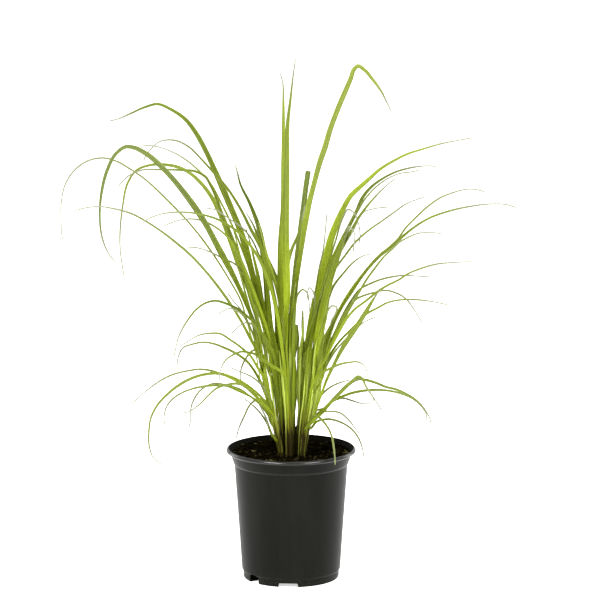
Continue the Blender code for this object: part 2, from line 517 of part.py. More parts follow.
def blade_solid(name, blade, material, grown_in=False, cut=False):
    """A folded blade: two flat halves that rise from the midrib, and a keel below it."""
    thick = THIN_THICK if grown_in else BLADE_THICK
    corners = []
    faces = []
    frames = blade_frames(blade, grown_in, cut)
    whole = frames if cut else frames[:-1]
    for middle, side, face, width in whole:
        slim = min(1.0, width / 3.0)
        lift = face * (width * BLADE_FOLD / 2)
        corners.append(middle - side * (width / 2) + lift)
        corners.append(middle - lift + face * (thick * 0.35 * slim))
        corners.append(middle + side * (width / 2) + lift)
        corners.append(middle - lift - face * (thick * 0.65 * slim))
    for section in range(len(whole) - 1):
        low = section * 4
        high = low + 4
        for edge in (0, 2):
            for middle in (1, 3):
                faces.append((low + edge, low + middle, high + middle))
                faces.append((low + edge, high + middle, high + edge))
    last = (len(whole) - 1) * 4
    faces.append((0, 1, 3))
    faces.append((1, 2, 3))
    if cut:
        faces.append((last, last + 1, last + 3))
        faces.append((last + 1, last + 2, last + 3))
    else:
        corners.append(frames[-1][0])
        tip = len(corners) - 1
        for corner in range(4):
            faces.append((last + corner, last + (corner + 1) % 4, tip))
    return add_solid(name, corners, faces, material)


def stalk_solid(name, stalk, material):
    """A round stalk with a flat foot and a short blunt top."""
    curve = stalk_curve(stalk)
    length = running_cost(curve, 0.0)
    sections = 6
    corners = []
    faces = []
    for section in range(sections + 1):
        share = section / sections
        middle = place_at(curve, length, length[-1] * share)
        radius = stalk.radius[0] + (stalk.radius[1] - stalk.radius[0]) * share
        for corner in range(STALK_SIDES):
            angle = 2 * math.pi * (corner + 0.5) / STALK_SIDES
            corners.append(middle + Vector((math.cos(angle), math.sin(angle), 0.0)) * radius)
    for section in range(sections):
        for corner in range(STALK_SIDES):
            after = (corner + 1) % STALK_SIDES
            low = section * STALK_SIDES
            high = low + STALK_SIDES
            faces.append((low + corner, low + after, high + after, high + corner))
    faces.append(tuple(range(STALK_SIDES)))
    last = sections * STALK_SIDES
    corners.append(curve[-1] + (curve[-1] - curve[-4]).normalized() * 3.0)
    for corner in range(STALK_SIDES):
        faces.append((last + corner, last + (corner + 1) % STALK_SIDES, len(corners) - 1))
    return add_solid(name, corners, faces, material)


def turned_solid(name, profile, material):
    """A solid turned round the upright axis from a profile that starts and ends on the axis."""
    corners = []
    rings = []
    for radius, height in profile:
        if radius == 0.0:
            rings.append([len(corners)])
            corners.append((0.0, 0.0, height))
            continue
        rings.append(range(len(corners), len(corners) + POT_SIDES))
        for side in range(POT_SIDES):
            angle = 2 * math.pi * side / POT_SIDES
            corners.append((radius * math.cos(angle), radius * math.sin(angle), height))
    faces = []
    for low, high in zip(rings, rings[1:]):
        for side in range(POT_SIDES):
            after = (side + 1) % POT_SIDES
            if len(low) == 1:
                faces.append((low[0], high[side], high[after]))
            elif len(high) == 1:
                faces.append((low[side], low[after], high[0]))
            else:
                faces.append((low[side], low[after], high[after], high[side]))
    return add_solid(name, corners, faces, material)


def inner_radius(height):
    """The radius of the pot's hollow at a height."""
    share = (height - FOOT_HEIGHT) / (NECK_BOTTOM - FOOT_HEIGHT)
    wall = WALL_BOTTOM_RADIUS + (NECK_BOTTOM_RADIUS - LEDGE - WALL_BOTTOM_RADIUS) * share
    return wall - WALL


def pot_profile():
    """The pot's outline, from the middle of the underside, up the outside, and down the inside."""
    rim_top = POT_HEIGHT
    rim_low = POT_HEIGHT - RIM_DEPTH
    rim_inside = RIM_RADIUS - RIM_WIDTH
    return [
        (0.0, 0.0),
        (FOOT_RADIUS - 0.8, 0.0),
        (FOOT_RADIUS, 0.8),
        (FOOT_RADIUS + 0.5, FOOT_HEIGHT - 1.0),
        (WALL_BOTTOM_RADIUS, FOOT_HEIGHT + 0.8),
        (NECK_BOTTOM_RADIUS - LEDGE, NECK_BOTTOM - 1.5),
        (NECK_BOTTOM_RADIUS, NECK_BOTTOM - 0.3),
        (NECK_BOTTOM_RADIUS + 0.5, NECK_BOTTOM + 2.0),
        (NECK_TOP_RADIUS, rim_low - 2.2),
        (NECK_TOP_RADIUS + 1.4, rim_low + 0.2),
        (RIM_RADIUS - 1.0, rim_low + 0.4),
        (RIM_RADIUS, rim_low + 1.6),
        (RIM_RADIUS, rim_top - 1.7),
        (RIM_RADIUS - 1.2, rim_top - 0.3),
        (RIM_RADIUS - 2.3, rim_top),
        (rim_inside + 0.5, rim_top - 0.5),
        (rim_inside, rim_top - 1.8),
        (NECK_TOP_RADIUS - WALL + 0.2, rim_low - 2.0),
        (inner_radius(NECK_BOTTOM) + 0.6, NECK_BOTTOM),
        (inner_radius(FOOT_HEIGHT), FOOT_HEIGHT),
        (FOOT_RADIUS - WALL - 0.2, FLOOR),
        (0.0, FLOOR),
    ]


def drain_cutter(name, bearing, width, height, depth, material):
    """An arched block that cuts the foot of the pot."""
    arc_points = 6
    outline = [(-width / 2, -2.0), (width / 2, -2.0)]
    corner = min(height * 0.55, width * 0.3)
    for side, quarter in ((1, 0.0), (-1, math.pi / 2)):
        for index in range(arc_points + 1):
            angle = quarter + math.pi / 2 * index / arc_points
            across = side * (width / 2 - corner) + corner * math.cos(angle)
            outline.append((across, height - corner + corner * math.sin(angle)))
    turn = math.radians(bearing)
    outward = Vector((math.cos(turn), math.sin(turn), 0.0))
    across = Vector((-math.sin(turn), math.cos(turn), 0.0))
    corners = []
    for distance in (FOOT_RADIUS - depth, WALL_BOTTOM_RADIUS + 6.0):
        for offset, rise in outline:
            corners.append(outward * distance + across * offset + Vector((0.0, 0.0, rise)))
    count = len(outline)
    faces = [tuple(range(count)), tuple(range(count, 2 * count))]
    for index in range(count):
        after = (index + 1) % count
        faces.append((index, after, count + after, count + index))
    return as_tool(add_solid(name, corners, faces, material))


def build_pot(material):
    """The pot, with its drain slots and arches cut out."""
    pot = turned_solid("pot", pot_profile(), material)
    for number, bearing in enumerate(SLOT_BEARINGS, 1):
        cutter = drain_cutter(f"slot_cutter_{number}", bearing, SLOT_WIDTH, SLOT_HEIGHT, SLOT_DEPTH, material)
        add_boolean(pot, cutter, "DIFFERENCE")
    for number, bearing in enumerate(ARCH_BEARINGS, 1):
        cutter = drain_cutter(f"arch_cutter_{number}", bearing, ARCH_WIDTH, ARCH_HEIGHT, ARCH_DEPTH, material)
        add_boolean(pot, cutter, "DIFFERENCE")
    return pot


def build_soil(material):
    """The soil, which fills the pot and is flat round the stalks and lumpy outside them."""
    below = 2 * GAP
    profile = [
        (0.0, FLOOR + GAP),
        (FOOT_RADIUS - WALL - 1.0, FLOOR + GAP),
        (inner_radius(FOOT_HEIGHT) - below, FOOT_HEIGHT),
        (inner_radius(NECK_BOTTOM) - below, NECK_BOTTOM),
        (SOIL_EDGE, SOIL_TOP + SOIL_RISE * 0.5),
    ]
    for radius in reversed(SOIL_RINGS):
        rise = SOIL_RISE * ease(CLUMP_RADIUS, SOIL_RINGS[-1], radius)
        profile.append((radius, SOIL_TOP + rise))
    soil = turned_solid("soil", profile, material)
    for corner in soil.data.vertices:
        x, y, z = corner.co / MM
        distance = math.hypot(x, y)
        if z > SOIL_TOP - 1.0 and distance > CLUMP_RADIUS + 1.0:
            lump = math.sin(x * 0.31) * math.cos(y * 0.27) + 0.6 * math.sin(x * 0.13 + y * 0.41)
            corner.co.z += SOIL_LUMP * lump * MM * 0.7
    return soil


def build_stalks(material):
    """The stalks, each joined with the thin leaves that grow from it."""
    for name, stalk in STALKS.items():
        solid = stalk_solid(name, stalk, material)
        for number, blade in enumerate(THIN_LEAVES, 1):
            if blade.stalk != name:
                continue
            thin = as_tool(blade_solid(f"thin_{number:02d}", blade, material, grown_in=True))
            add_boolean(solid, thin, "UNION")


def build_leaves(material):
    """The long leaves, each a solid of its own beside its stalk."""
    for name, blade in LEAVES.items():
        blade_solid(name, blade, material, cut=name in CUT_LEAVES)


clear_scene()
build_pot(make_material("black_plastic", (0.022, 0.022, 0.020), 0.42))
build_soil(make_material("potting_soil", (0.028, 0.019, 0.012), 0.95))
build_stalks(make_material("leaf_sheath", (0.24, 0.27, 0.07), 0.5))
build_leaves(make_material("leaf_blade", (0.25, 0.42, 0.05), 0.45))
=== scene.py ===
"""A clump of lemongrass in a black nursery pot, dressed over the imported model.

The fine pot, soil, stalks and blades here stand for the plain solids and follow the same lines and sizes.
Shapes are worked out in millimetres, and become metres when a mesh is made.
"""
import math
import random
from collections import namedtuple

import bmesh
import bpy
import numpy as np
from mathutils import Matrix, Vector, noise


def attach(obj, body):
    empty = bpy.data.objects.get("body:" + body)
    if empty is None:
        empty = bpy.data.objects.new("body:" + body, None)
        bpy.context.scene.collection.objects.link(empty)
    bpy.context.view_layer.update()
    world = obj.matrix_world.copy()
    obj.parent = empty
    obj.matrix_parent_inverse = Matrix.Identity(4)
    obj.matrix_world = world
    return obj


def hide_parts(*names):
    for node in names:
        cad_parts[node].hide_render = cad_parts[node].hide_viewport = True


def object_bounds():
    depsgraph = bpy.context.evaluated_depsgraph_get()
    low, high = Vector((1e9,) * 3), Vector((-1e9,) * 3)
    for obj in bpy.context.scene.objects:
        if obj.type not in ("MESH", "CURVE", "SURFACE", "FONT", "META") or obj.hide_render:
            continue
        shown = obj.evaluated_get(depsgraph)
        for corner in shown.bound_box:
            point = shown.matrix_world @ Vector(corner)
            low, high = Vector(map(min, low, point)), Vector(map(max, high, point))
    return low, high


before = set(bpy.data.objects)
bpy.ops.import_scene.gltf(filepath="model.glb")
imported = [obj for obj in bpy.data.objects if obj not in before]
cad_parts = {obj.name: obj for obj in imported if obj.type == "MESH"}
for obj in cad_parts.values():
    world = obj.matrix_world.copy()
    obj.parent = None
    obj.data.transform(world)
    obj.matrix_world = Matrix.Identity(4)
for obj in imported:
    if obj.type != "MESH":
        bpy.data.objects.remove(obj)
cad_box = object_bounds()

MM = 0.001
BODY = "root"
BOX_LOW, BOX_HIGH = (np.array(corner) / MM for corner in cad_box)

# The pot, in millimetres. The outer RIM_SHINE of its rim is glossier. Slots and arches are cut into the foot:
# the width, height and depth of each, and the bearings where they are.
POT_HEIGHT = 167.5
RIM_RADIUS = 82.5
RIM_WIDTH = 4.2
RIM_DEPTH = 5.2
RIM_SHINE = 3.0
NECK_BOTTOM = 149.0
NECK_BOTTOM_RADIUS = 73.2
NECK_TOP_RADIUS = 77.0
LEDGE = 1.2
FOOT_HEIGHT = 10.5
FOOT_RADIUS = 60.6
WALL_BOTTOM_RADIUS = 62.6
WALL = 1.6
FLOOR = 2.4
POT_SIDES = 200
CORNER_REACH = 0.9
CORNER_SHARES = (0.0, 0.25, 0.5, 0.75, 1.0)
SLOT = (17.0, 11.0, 20.0)
SLOT_BEARINGS = (219.5, 39.5)
ARCH = (25.0, 5.6, 20.0)
ARCH_BEARINGS = (266.4, 86.4)
ARC_STEPS = 8
CUT_BELOW = 2.0
CUT_OUTSIDE = 6.0

# The soil, in millimetres. Of its chips, CRUMB_SHARE are crumbs and the rest bark.
SOIL_TOP = 159.5
SOIL_RISE = 2.6
SOIL_LUMP = 1.3
CLUMP_RADIUS = 26.0
SOIL_EDGE = 75.6
SOIL_SIDES = 200
SOIL_RINGS = 66
CHIPS = 1500
FIBRES = 90
CHIPS_RADIUS = 73.5
CHIPS_SEED = 5
CRUMB_LENGTH = (0.8, 2.4)
BARK_LENGTH = (2.5, 6.5)
MOST_CHIP_HEIGHT = 1.8
CRUMB_SHARE = 0.8
FIBRE_LENGTH = (5.0, 13.0)
FIBRE_WIDTH = 0.35
FIBRE_HEIGHT = 0.3

# The plant is drawn on a sheet that stands in the pot's axis and faces the eye of the front view. The sheet
# is 600 points wide and high. Columns run right and rows run down, and one point is POINT wide.
POINT = 1.26
AXIS_COLUMN = 291.0
MIDDLE = 300.0
EYE_DISTANCE = 5000.0
EYE_TILT = math.radians(10.75)
VIEW_WIDTH = 756.0
SHEET_MIDDLE = Vector(((MIDDLE - AXIS_COLUMN) * POINT, 0.0, 358.0))
SHEET_UP = Vector((0.0, math.sin(EYE_TILT), math.cos(EYE_TILT)))
TO_EYE = Vector((0.0, -math.cos(EYE_TILT), math.sin(EYE_TILT)))

# Stalks and blades, in millimetres. GAP and PLAIN_THICK are the gap and thickness of the plain blades. A
# sheath follows its stalk at SHEATH_SHARES of the stalk below the blade, and the blade leaves the stalk over
# the next LEAVING_SHARE. A row counts ROW_WEIGHT as much as a column in how far a blade has come toward the
# eye. A stalk's foot goes into the soil by SUNK_SHARES of SUNK_LENGTH.
GAP = 0.3
PLAIN_THICK = 1.0
LEAF_THICK = 0.42
TIP_WIDTH = 1.2
END_WIDTH = 0.5
LEAST_WIDTH = 0.25
ROOT_SHARE = 0.62
TAPER_FROM = 0.3
TURNED_BY = 0.35
UNWRAPPED_BY = 0.14
SHEATH_SHARES = (0.50, 0.42, 0.34, 0.26, 0.18, 0.09)
LOWEST_SHEATH = 0.03
SHEATH_CLEARANCE = 0.35
LEAVING_SHARE = 0.10
ROW_WEIGHT = 0.25
FINE_STEPS = 12
BEND_COST = 55.0
SECTION = 5.0
LEAST_SECTIONS = 24
LOOK_AHEAD = 4.0
STALK_SIDES = 28
STALK_STEPS = 44
SUNK_SHARES = (-0.05, -0.02)
SUNK_LENGTH = 100

# The ridges round a stalk: their height as a share of its radius, their number, and how they twist.
RIDGES = ((0.05, 3, 2.0), (0.03, 7, -3.0), (0.015, 13, 0.0))

# Where the brown of the feet starts and how far up it fades, for the slow browning and for the darkening just
# above the soil.
FOOT_BROWN = (184.0, 52.0)
FOOT_NEAR_SOIL = (161.0, 16.0)

# The points round a blade: how far across each lies, whether it is on the upper or the under side, how full
# the blade is there, the keel under the midrib, and the channel.
UPPER_POINTS = np.linspace(-1.0, 1.0, 11)
ACROSS = np.concatenate([UPPER_POINTS, UPPER_POINTS[-2:0:-1]])
UPWARD = np.concatenate([np.ones(len(UPPER_POINTS)), -np.ones(len(UPPER_POINTS) - 2)])
FULLNESS = np.sqrt(np.maximum(0.0, 1 - ACROSS**4))
KEEL = np.exp(-(ACROSS / 0.13) ** 2) * (UPWARD < 0)
CHANNEL = 0.45 * ACROSS**2 + 0.55 * np.sqrt(ACROSS**2 + 0.01)

# Wavy edges and ridges start at a phase between 0 and PHASE, about a full turn. The tones of the thin leaves
# are drawn from TONES_SEED.
PHASE = 6.3
TONES_SEED = 11

# Edges that bend more than this many degrees stay sharp.
POT_SHARP = 32
SOIL_SHARP = 30
PLANT_SHARP = 60

Stalk = namedtuple("Stalk", "foot toward radius line")
Blade = namedtuple("Blade", "stalk start side wide reach turn line")
Part = namedtuple("Part", "points faces values")


def numbered(prefix, rows):
    """Rows under names with a running number."""
    return {f"{prefix}_{number:02}": row for number, row in enumerate(rows, 1)}


def blades(rows):
    """Blades from rows, which start with the number of the stalk."""
    return [Blade(f"stalk_{number:02}", *row) for number, *row in rows]


# Each stalk: the column of its foot, how far its foot and its top stand toward the eye, its radius at the
# foot and at the top, and the columns and rows that it passes through.
STALKS = numbered("stalk", [Stalk(*row) for row in (
    (283, (12, 16), (2.9, 1.9), [(279, 436), (275, 420), (271, 403), (267, 385), (262.8, 366)]),
    (281, (2, 0), (2.6, 1.7), [(276.5, 432), (272, 415), (267.5, 398), (262.8, 382)]),
    (285.5, (6, 4), (3.1, 2.0), [(283, 430), (280.5, 408), (277, 385), (272, 360)]),
    (287, (-8, -14), (3.0, 1.9), [(285, 428), (283, 405), (280, 380), (276, 352)]),
    (290, (14, 20), (3.4, 2.2), [(290, 430), (288, 405), (286.5, 380), (284, 350)]),
    (291, (-14, -24), (3.2, 2.0), [(291.5, 428), (291.5, 400), (291, 370), (290, 340)]),
    (293.5, (4, 2), (3.2, 2.0), [(293, 430), (293, 405), (293, 380), (292.5, 350)]),
    (298.5, (-6, -12), (3.0, 1.9), [(300.5, 425), (301.5, 400), (302.5, 375), (304, 345)]),
    (301, (11, 18), (3.0, 2.0), [(302.5, 440), (305, 425), (308.5, 405), (312, 385), (316, 362)]),
    (303, (-2, -6), (2.8, 1.8), [(306.5, 432), (310, 415), (314, 397), (318, 378)]),
    (300, (-16, -26), (2.8, 1.8), [(304.5, 430), (308, 408), (311, 385), (314, 355)]),
)])

# Each leaf, first those that arch left, then the upright ones in the middle and those that arch right: the
# number of its stalk, how far up the stalk it starts (0 to 1), the side of the stalk that it
# starts on in degrees (0 right, 90 back, 180 left, 270 front), its full width, how far its end reaches toward
# the eye from its stalk, how it is turned at its middle and at its end (0 shows the upper face to the eye, 90
# the edge, 180 the underside), and the columns and rows that its midrib passes through. A third number there
# is a distance toward the eye where the reach doesn't give it.
LEFT_LEAVES = blades([
    (3, 0.9, 140, 10.5, -60, (38, 58), [
        (268, 338, -1), (261, 308, -3), (252, 276), (241, 235), (228, 203), (215, 173), (205, 151),
        (195, 133), (185, 120), (170, 109.5), (158, 104.5), (145, 107.5), (130, 114), (118, 119),
        (104, 122)]),
    (1, 0.9, 160, 10.5, 75, (42, 58), [
        (259, 342, 11), (245, 303, 14), (233.5, 278, 19), (218, 249), (203.5, 222), (184, 194), (165, 171.5),
        (145, 154), (134, 148.5), (126, 147.5), (117, 153.5), (108, 170), (102.5, 190), (100, 215),
        (103, 240), (109, 254), (121, 268)]),
    (4, 0.84, 180, 8.0, -110, (50, 66), [
        (268, 335, -13), (256, 308, -16), (241, 275, -26), (230, 243), (219.5, 215), (210, 196), (200, 183),
        (190, 174), (180, 168.5), (165, 165.2), (150, 165.5), (136, 171), (128, 183), (123, 205), (120, 245),
        (125, 283)]),
    (2, 0.9, 180, 5.5, -150, (70, 74), [
        (256, 355, -7), (248, 325, -12), (240, 299), (230, 281), (210, 250), (190, 224), (170, 203),
        (142, 177), (130, 169), (118, 162), (104, 158), (90, 160), (72, 173), (65, 185), (61, 205), (61, 228),
        (64, 247)]),
    (5, 0.8, 180, 7.0, 25, (52, 62), [
        (278, 325), (270, 285), (261, 250), (250, 229), (240, 209), (228, 190), (210, 169), (200, 158),
        (190, 148), (175, 140.5), (160, 141.5), (150, 150), (145, 157), (144, 165)]),
    (3, 0.7, 200, 7.3, 32, (50, 62), [
        (266, 337, 10), (256, 303, 11), (244, 272), (232, 240), (222, 216), (211, 187), (205, 177),
        (196, 172), (180, 170.3), (160, 169.8), (143, 170), (130, 175), (115, 190)]),
    (6, 0.8, 180, 8.5, -115, (42, 58), [
        (286, 330), (281, 303), (274, 277), (265.5, 257), (258.8, 230), (249, 203), (240, 184), (236, 168),
        (234, 162)]),
    (5, 0.62, 235, 6.0, 95, (122, 112), [
        (281, 342, 28), (276, 310), (268, 282), (258, 258), (248, 243), (240, 234), (230, 226.5), (216, 219),
        (203, 215), (188, 212.5), (172, 212.5), (158, 215), (144, 222), (140, 227)]),
    (3, 0.88, 270, 5.0, 22, (120, 114), [
        (270, 344, 14), (261, 312, 20), (250, 282, 24), (240, 258, 26), (229, 239, 27), (215, 227),
        (203, 221), (190, 219), (178, 220.5), (160, 228)]),
    (2, 0.66, 250, 6.0, 120, (122, 112), [
        (261, 361, 8), (256, 350, 10), (250, 339, 13), (240, 320), (230, 304), (220, 290), (205, 271),
        (190, 255), (176, 243), (162, 232), (146, 221.5), (132, 214), (115, 209), (98, 206.5), (85, 208),
        (72, 212)]),
    (4, 0.9, 40, 6.0, -70, (46, 58), [
        (277, 322), (271, 285), (263, 255), (257, 236), (253, 225), (248, 216), (245, 211)]),
    (3, 0.56, 275, 6.0, 80, (122, 112), [
        (272, 352, 17), (264, 337, 21), (255, 324, 25), (245, 315, 29), (235, 308), (225, 303.5), (215, 301),
        (205, 303.5), (196, 310), (188, 320), (183, 328), (179, 336), (176, 347), (173, 362)]),
    (1, 0.62, 255, 7.0, 60, (126, 114), [
        (262, 375, 25), (258, 369, 28), (250, 356, 32), (240, 347), (230, 340), (220, 334), (210, 333.5),
        (200, 335), (190, 340), (181, 346)]),
    (2, 0.5, 100, 7.5, -55, (50, 64), [
        (264, 391, -7), (257, 376, -10), (247, 362, -14), (236, 354), (225, 348.5), (215, 344.5),
        (205, 342.5), (192, 344.5), (183, 348), (178, 358), (177, 372)]),
    (5, 0.52, 270, 5.5, 85, (120, 112), [
        (283, 374, 31), (270, 365, 36), (260, 358, 40), (250, 353), (241, 352), (233, 355), (225, 361),
        (220, 372), (219.5, 384)]),
    (2, 0.34, 90, 5.0, -165, (66, 70), [
        (268, 411, -12), (258, 399, -17), (246, 388), (232, 379), (218, 373), (202, 369.5), (185, 371.5),
        (172, 375), (160, 381), (150, 388), (140, 396), (130, 407)]),
    (1, 0.22, 180, 7.0, 75, (58, 68), [
        (268, 405), (260, 396), (250, 388), (240, 382), (230, 377.5), (218, 374), (204, 375), (190, 379.5),
        (177, 387), (166, 396), (157, 406), (151, 418), (149, 432), (149.5, 447), (153, 457), (160, 463),
        (168, 467)]),
    (2, 0.28, 215, 5.5, -40, (60, 68), [
        (269, 414, 5), (262, 405, 5), (251, 397, 4), (238, 391, 0), (225, 386), (210, 386), (196, 388),
        (184, 392), (174, 398), (167, 406), (164, 418), (166, 430)]),
    (1, 0.34, 270, 5.5, 140, (122, 112), [
        (267, 409, 22), (258, 399, 30), (250, 391), (240, 384.5), (227, 385), (216, 389), (208, 396),
        (200, 404), (190, 411), (180, 414)]),
    (2, 0.18, 90, 5.0, -30, (60, 66), [
        (270, 421, -8), (265, 404, -21), (259, 399, -24), (252, 403, -26), (244, 417, -27), (239, 428, -27),
        (236, 439, -27)]),
])
MIDDLE_LEAVES = blades([
    (4, 0.84, 320, 9.5, -30, (28, 45), [
        (281.6, 328), (281.4, 300), (280, 270), (280.8, 240), (282.6, 215), (283.2, 190), (283, 160),
        (283, 130), (283, 100), (282, 80), (280, 74), (276, 71)]),
    (5, 0.86, 0, 9.0, -6, (24, 45), [
        (287, 328), (287.2, 300), (286.3, 270), (285.6, 230), (286, 190), (286.5, 160), (287.5, 120),
        (290, 100), (293, 75), (296, 56)]),
    (6, 0.86, 0, 10.0, -8, (24, 18), [
        (292.3, 322), (294.2, 295), (296.8, 265), (299.8, 240), (302.8, 215), (305.8, 190), (308.5, 171)]),
    (7, 0.84, 0, 10.0, 45, (42, 24), [
        (294.5, 322), (296.6, 290), (300, 262), (303.5, 240), (306.5, 222), (310, 203), (314.5, 185),
        (321, 161), (325.8, 147), (330, 132), (335, 118), (340, 105), (345.5, 92), (351, 79), (354.5, 69.5),
        (358, 66.5), (364, 70), (372, 79), (381, 91.5), (388, 105), (394, 117)]),
    (6, 0.72, 270, 5.5, 18, (130, 120), [
        (289, 332, -13), (287, 310, -6), (286.5, 285, -3), (289, 262, -2), (293, 248, -2), (298, 236, -3),
        (302, 222, -4), (305, 205, -6)]),
    (7, 0.76, 290, 5.5, 14, (122, 112), [
        (294, 330, 11), (295.8, 304, 13), (298, 294.5), (303, 289.7), (307, 293), (309, 302), (309.5, 313)]),
    (7, 0.7, 112, 6.5, 0, (24, 24), [(295.5, 347, -5), (297.2, 337, -7), (296.2, 324.5, -8)]),
])
RIGHT_LEAVES = blades([
    (8, 0.76, 0, 12.0, -25, (35, 72), [
        (309, 345), (313, 325), (316.5, 303), (320.5, 283), (327, 258), (332, 238), (338, 222), (345, 207),
        (352, 195.5), (360, 188), (370, 179), (380, 170), (395, 160.5), (408, 154), (422, 149.5), (440, 144),
        (460, 140), (477, 137)]),
    (8, 0.88, 90, 9.0, -120, (46, 64), [
        (308, 340, -18), (314, 320, -21), (321, 296), (333, 262), (343, 240), (350, 226), (357, 212),
        (363, 198), (370, 189), (385, 177.5), (395, 172.5), (408, 168.5), (425, 166), (440, 166.5)]),
    (9, 0.86, 90, 8.0, 62, (50, 62), [
        (317, 340, 13), (321, 315, 14), (327, 290, 17), (334, 268, 22), (342, 249, 29), (351, 232),
        (359, 218), (370, 203), (380, 192), (390, 182.5), (398, 177)]),
    (11, 0.84, 135, 5.5, -150, (64, 70), [
        (316, 332, -34), (321, 305, -38), (328, 285), (335, 270), (345, 256), (355, 243), (370, 229.5),
        (382, 221), (394, 212.5), (406, 204), (418, 199), (428, 196)]),
    (11, 0.88, 0, 6.0, -105, (50, 66), [
        (318, 338), (323, 318), (328, 302), (333, 288), (344, 273), (354, 262), (363, 256), (372, 254)]),
    (10, 0.84, 0, 7.5, 20, (56, 66), [
        (323, 360), (328, 343), (334.5, 323), (343, 306), (351.5, 293), (360, 280), (370, 267), (380, 256.5),
        (390, 248.5), (400, 239.5), (415, 227), (430, 218), (445, 212.5), (470, 206.5), (490, 204),
        (508, 205), (521, 210)]),
    (10, 0.72, 290, 6.5, 65, (124, 112), [
        (326, 362), (331, 347), (338, 331.5), (345.5, 317), (352.7, 304), (359, 293), (366, 281),
        (375, 268.5), (384, 257), (393, 248.5), (400, 242), (406, 238.5), (418, 233.5), (432, 232.5),
        (447, 235)]),
    (11, 0.78, 90, 5.5, -170, (66, 70), [
        (321, 345), (330, 328), (338, 313), (345, 300), (352, 289), (360, 278), (370, 265.5), (380, 255),
        (390, 247), (399, 238), (405, 229), (416, 217.5), (428, 206.5), (440, 198), (452, 193), (465, 189.5),
        (476, 189.5), (488, 193)]),
    (9, 0.74, 0, 7.5, 100, (56, 64), [
        (324, 362), (332, 346), (340, 331), (347, 319), (355, 309.5), (365, 302), (382, 289), (389, 285),
        (399, 280), (408, 274), (420, 269), (438, 264), (455, 262.5), (476, 261.5)]),
    (11, 0.7, 30, 5.5, -90, (62, 66), [
        (321, 360), (328, 347), (335, 333), (345, 312), (352, 300), (360, 289.5), (370, 284), (380, 280),
        (392, 277), (404, 275.5), (415, 276), (433, 277)]),
    (11, 0.62, 300, 5.0, -35, (118, 110), [
        (321, 366), (331, 345), (339, 326), (348, 309), (357, 299), (366, 295), (375, 292.5), (385, 290.5),
        (396, 293), (406, 299), (413, 308), (424, 326)]),
    (10, 0.6, 75, 5.5, -20, (62, 68), [
        (322, 376), (325, 367), (332, 352.5), (342, 339), (350, 331), (358, 323), (367, 314), (377, 308.5),
        (387, 303), (396, 300.6), (408, 299.6), (425, 300.6), (442, 303.6), (452, 306)]),
    (9, 0.26, 40, 10.0, 55, (60, 20), [
        (313, 418), (318, 405), (323, 391), (328, 378), (334.5, 365), (340.6, 353), (348, 340.6),
        (357.6, 326), (365, 314), (374.5, 298), (380.6, 289.7)]),
    (9, 0.56, 270, 5.5, 90, (122, 112), [
        (315, 381), (322.4, 373), (331, 368.5), (340.6, 364.3), (350, 362.4), (357.6, 362), (363.6, 365),
        (366.7, 371), (367.5, 379)]),
    (9, 0.18, 315, 7.0, 60, (122, 112), [
        (313, 422, 19), (321, 414.5, 22), (328.5, 406), (335.8, 397.6), (344, 389), (352.7, 380.6),
        (358.8, 376.6), (363, 379.5), (365, 385), (368, 390), (373, 398), (374.5, 406)]),
    (10, 0.36, 0, 6.5, 10, (60, 66), [
        (320, 412), (328, 405), (335.5, 398.5), (344, 390), (351, 383.5), (358, 379.8), (367, 380.6),
        (377, 383.6), (385, 387), (396, 389.7), (406, 394), (415.8, 400), (424, 408.5), (430, 419),
        (431.5, 430)]),
    (10, 0.24, 60, 6.0, -50, (60, 66), [
        (316, 416), (323.6, 409.7), (331, 402.6), (340.6, 397.6), (352.7, 393.3), (365, 391), (377, 390.3),
        (389, 391), (400, 393.5), (412, 398.5), (421, 406), (426, 414), (427, 425.5)]),
    (11, 0.3, 100, 5.0, -110, (64, 68), [
        (314, 404), (318, 399), (323.6, 393), (331, 387), (340.6, 382.5), (350, 380)]),
    (11, 0.12, 60, 5.0, -50, (64, 68), [
        (310, 429), (317, 422), (326, 419.5), (335.8, 420.6), (344, 424), (352.7, 430.3), (358.8, 438.8),
        (362.4, 448.5), (364, 458)]),
    (9, 0.14, 250, 5.0, 66, (124, 118), [
        (308, 426, 24), (312, 419, 30), (316, 416, 34), (320, 418.5, 38), (325, 424, 44), (329, 430, 50),
        (332, 438, 57), (333.6, 447, 64), (334.4, 454, 70), (335, 460, 75), (335, 465, 77)]),
])
LEAVES = {
    **numbered("leaf_left", LEFT_LEAVES),
    **numbered("leaf_middle", MIDDLE_LEAVES),
    **numbered("leaf_right", RIGHT_LEAVES),
}

# The leaves that a blade cut across the top, so that they end at nearly their full width.
CUT_LEAVES = ("leaf_middle_03", "leaf_middle_07")

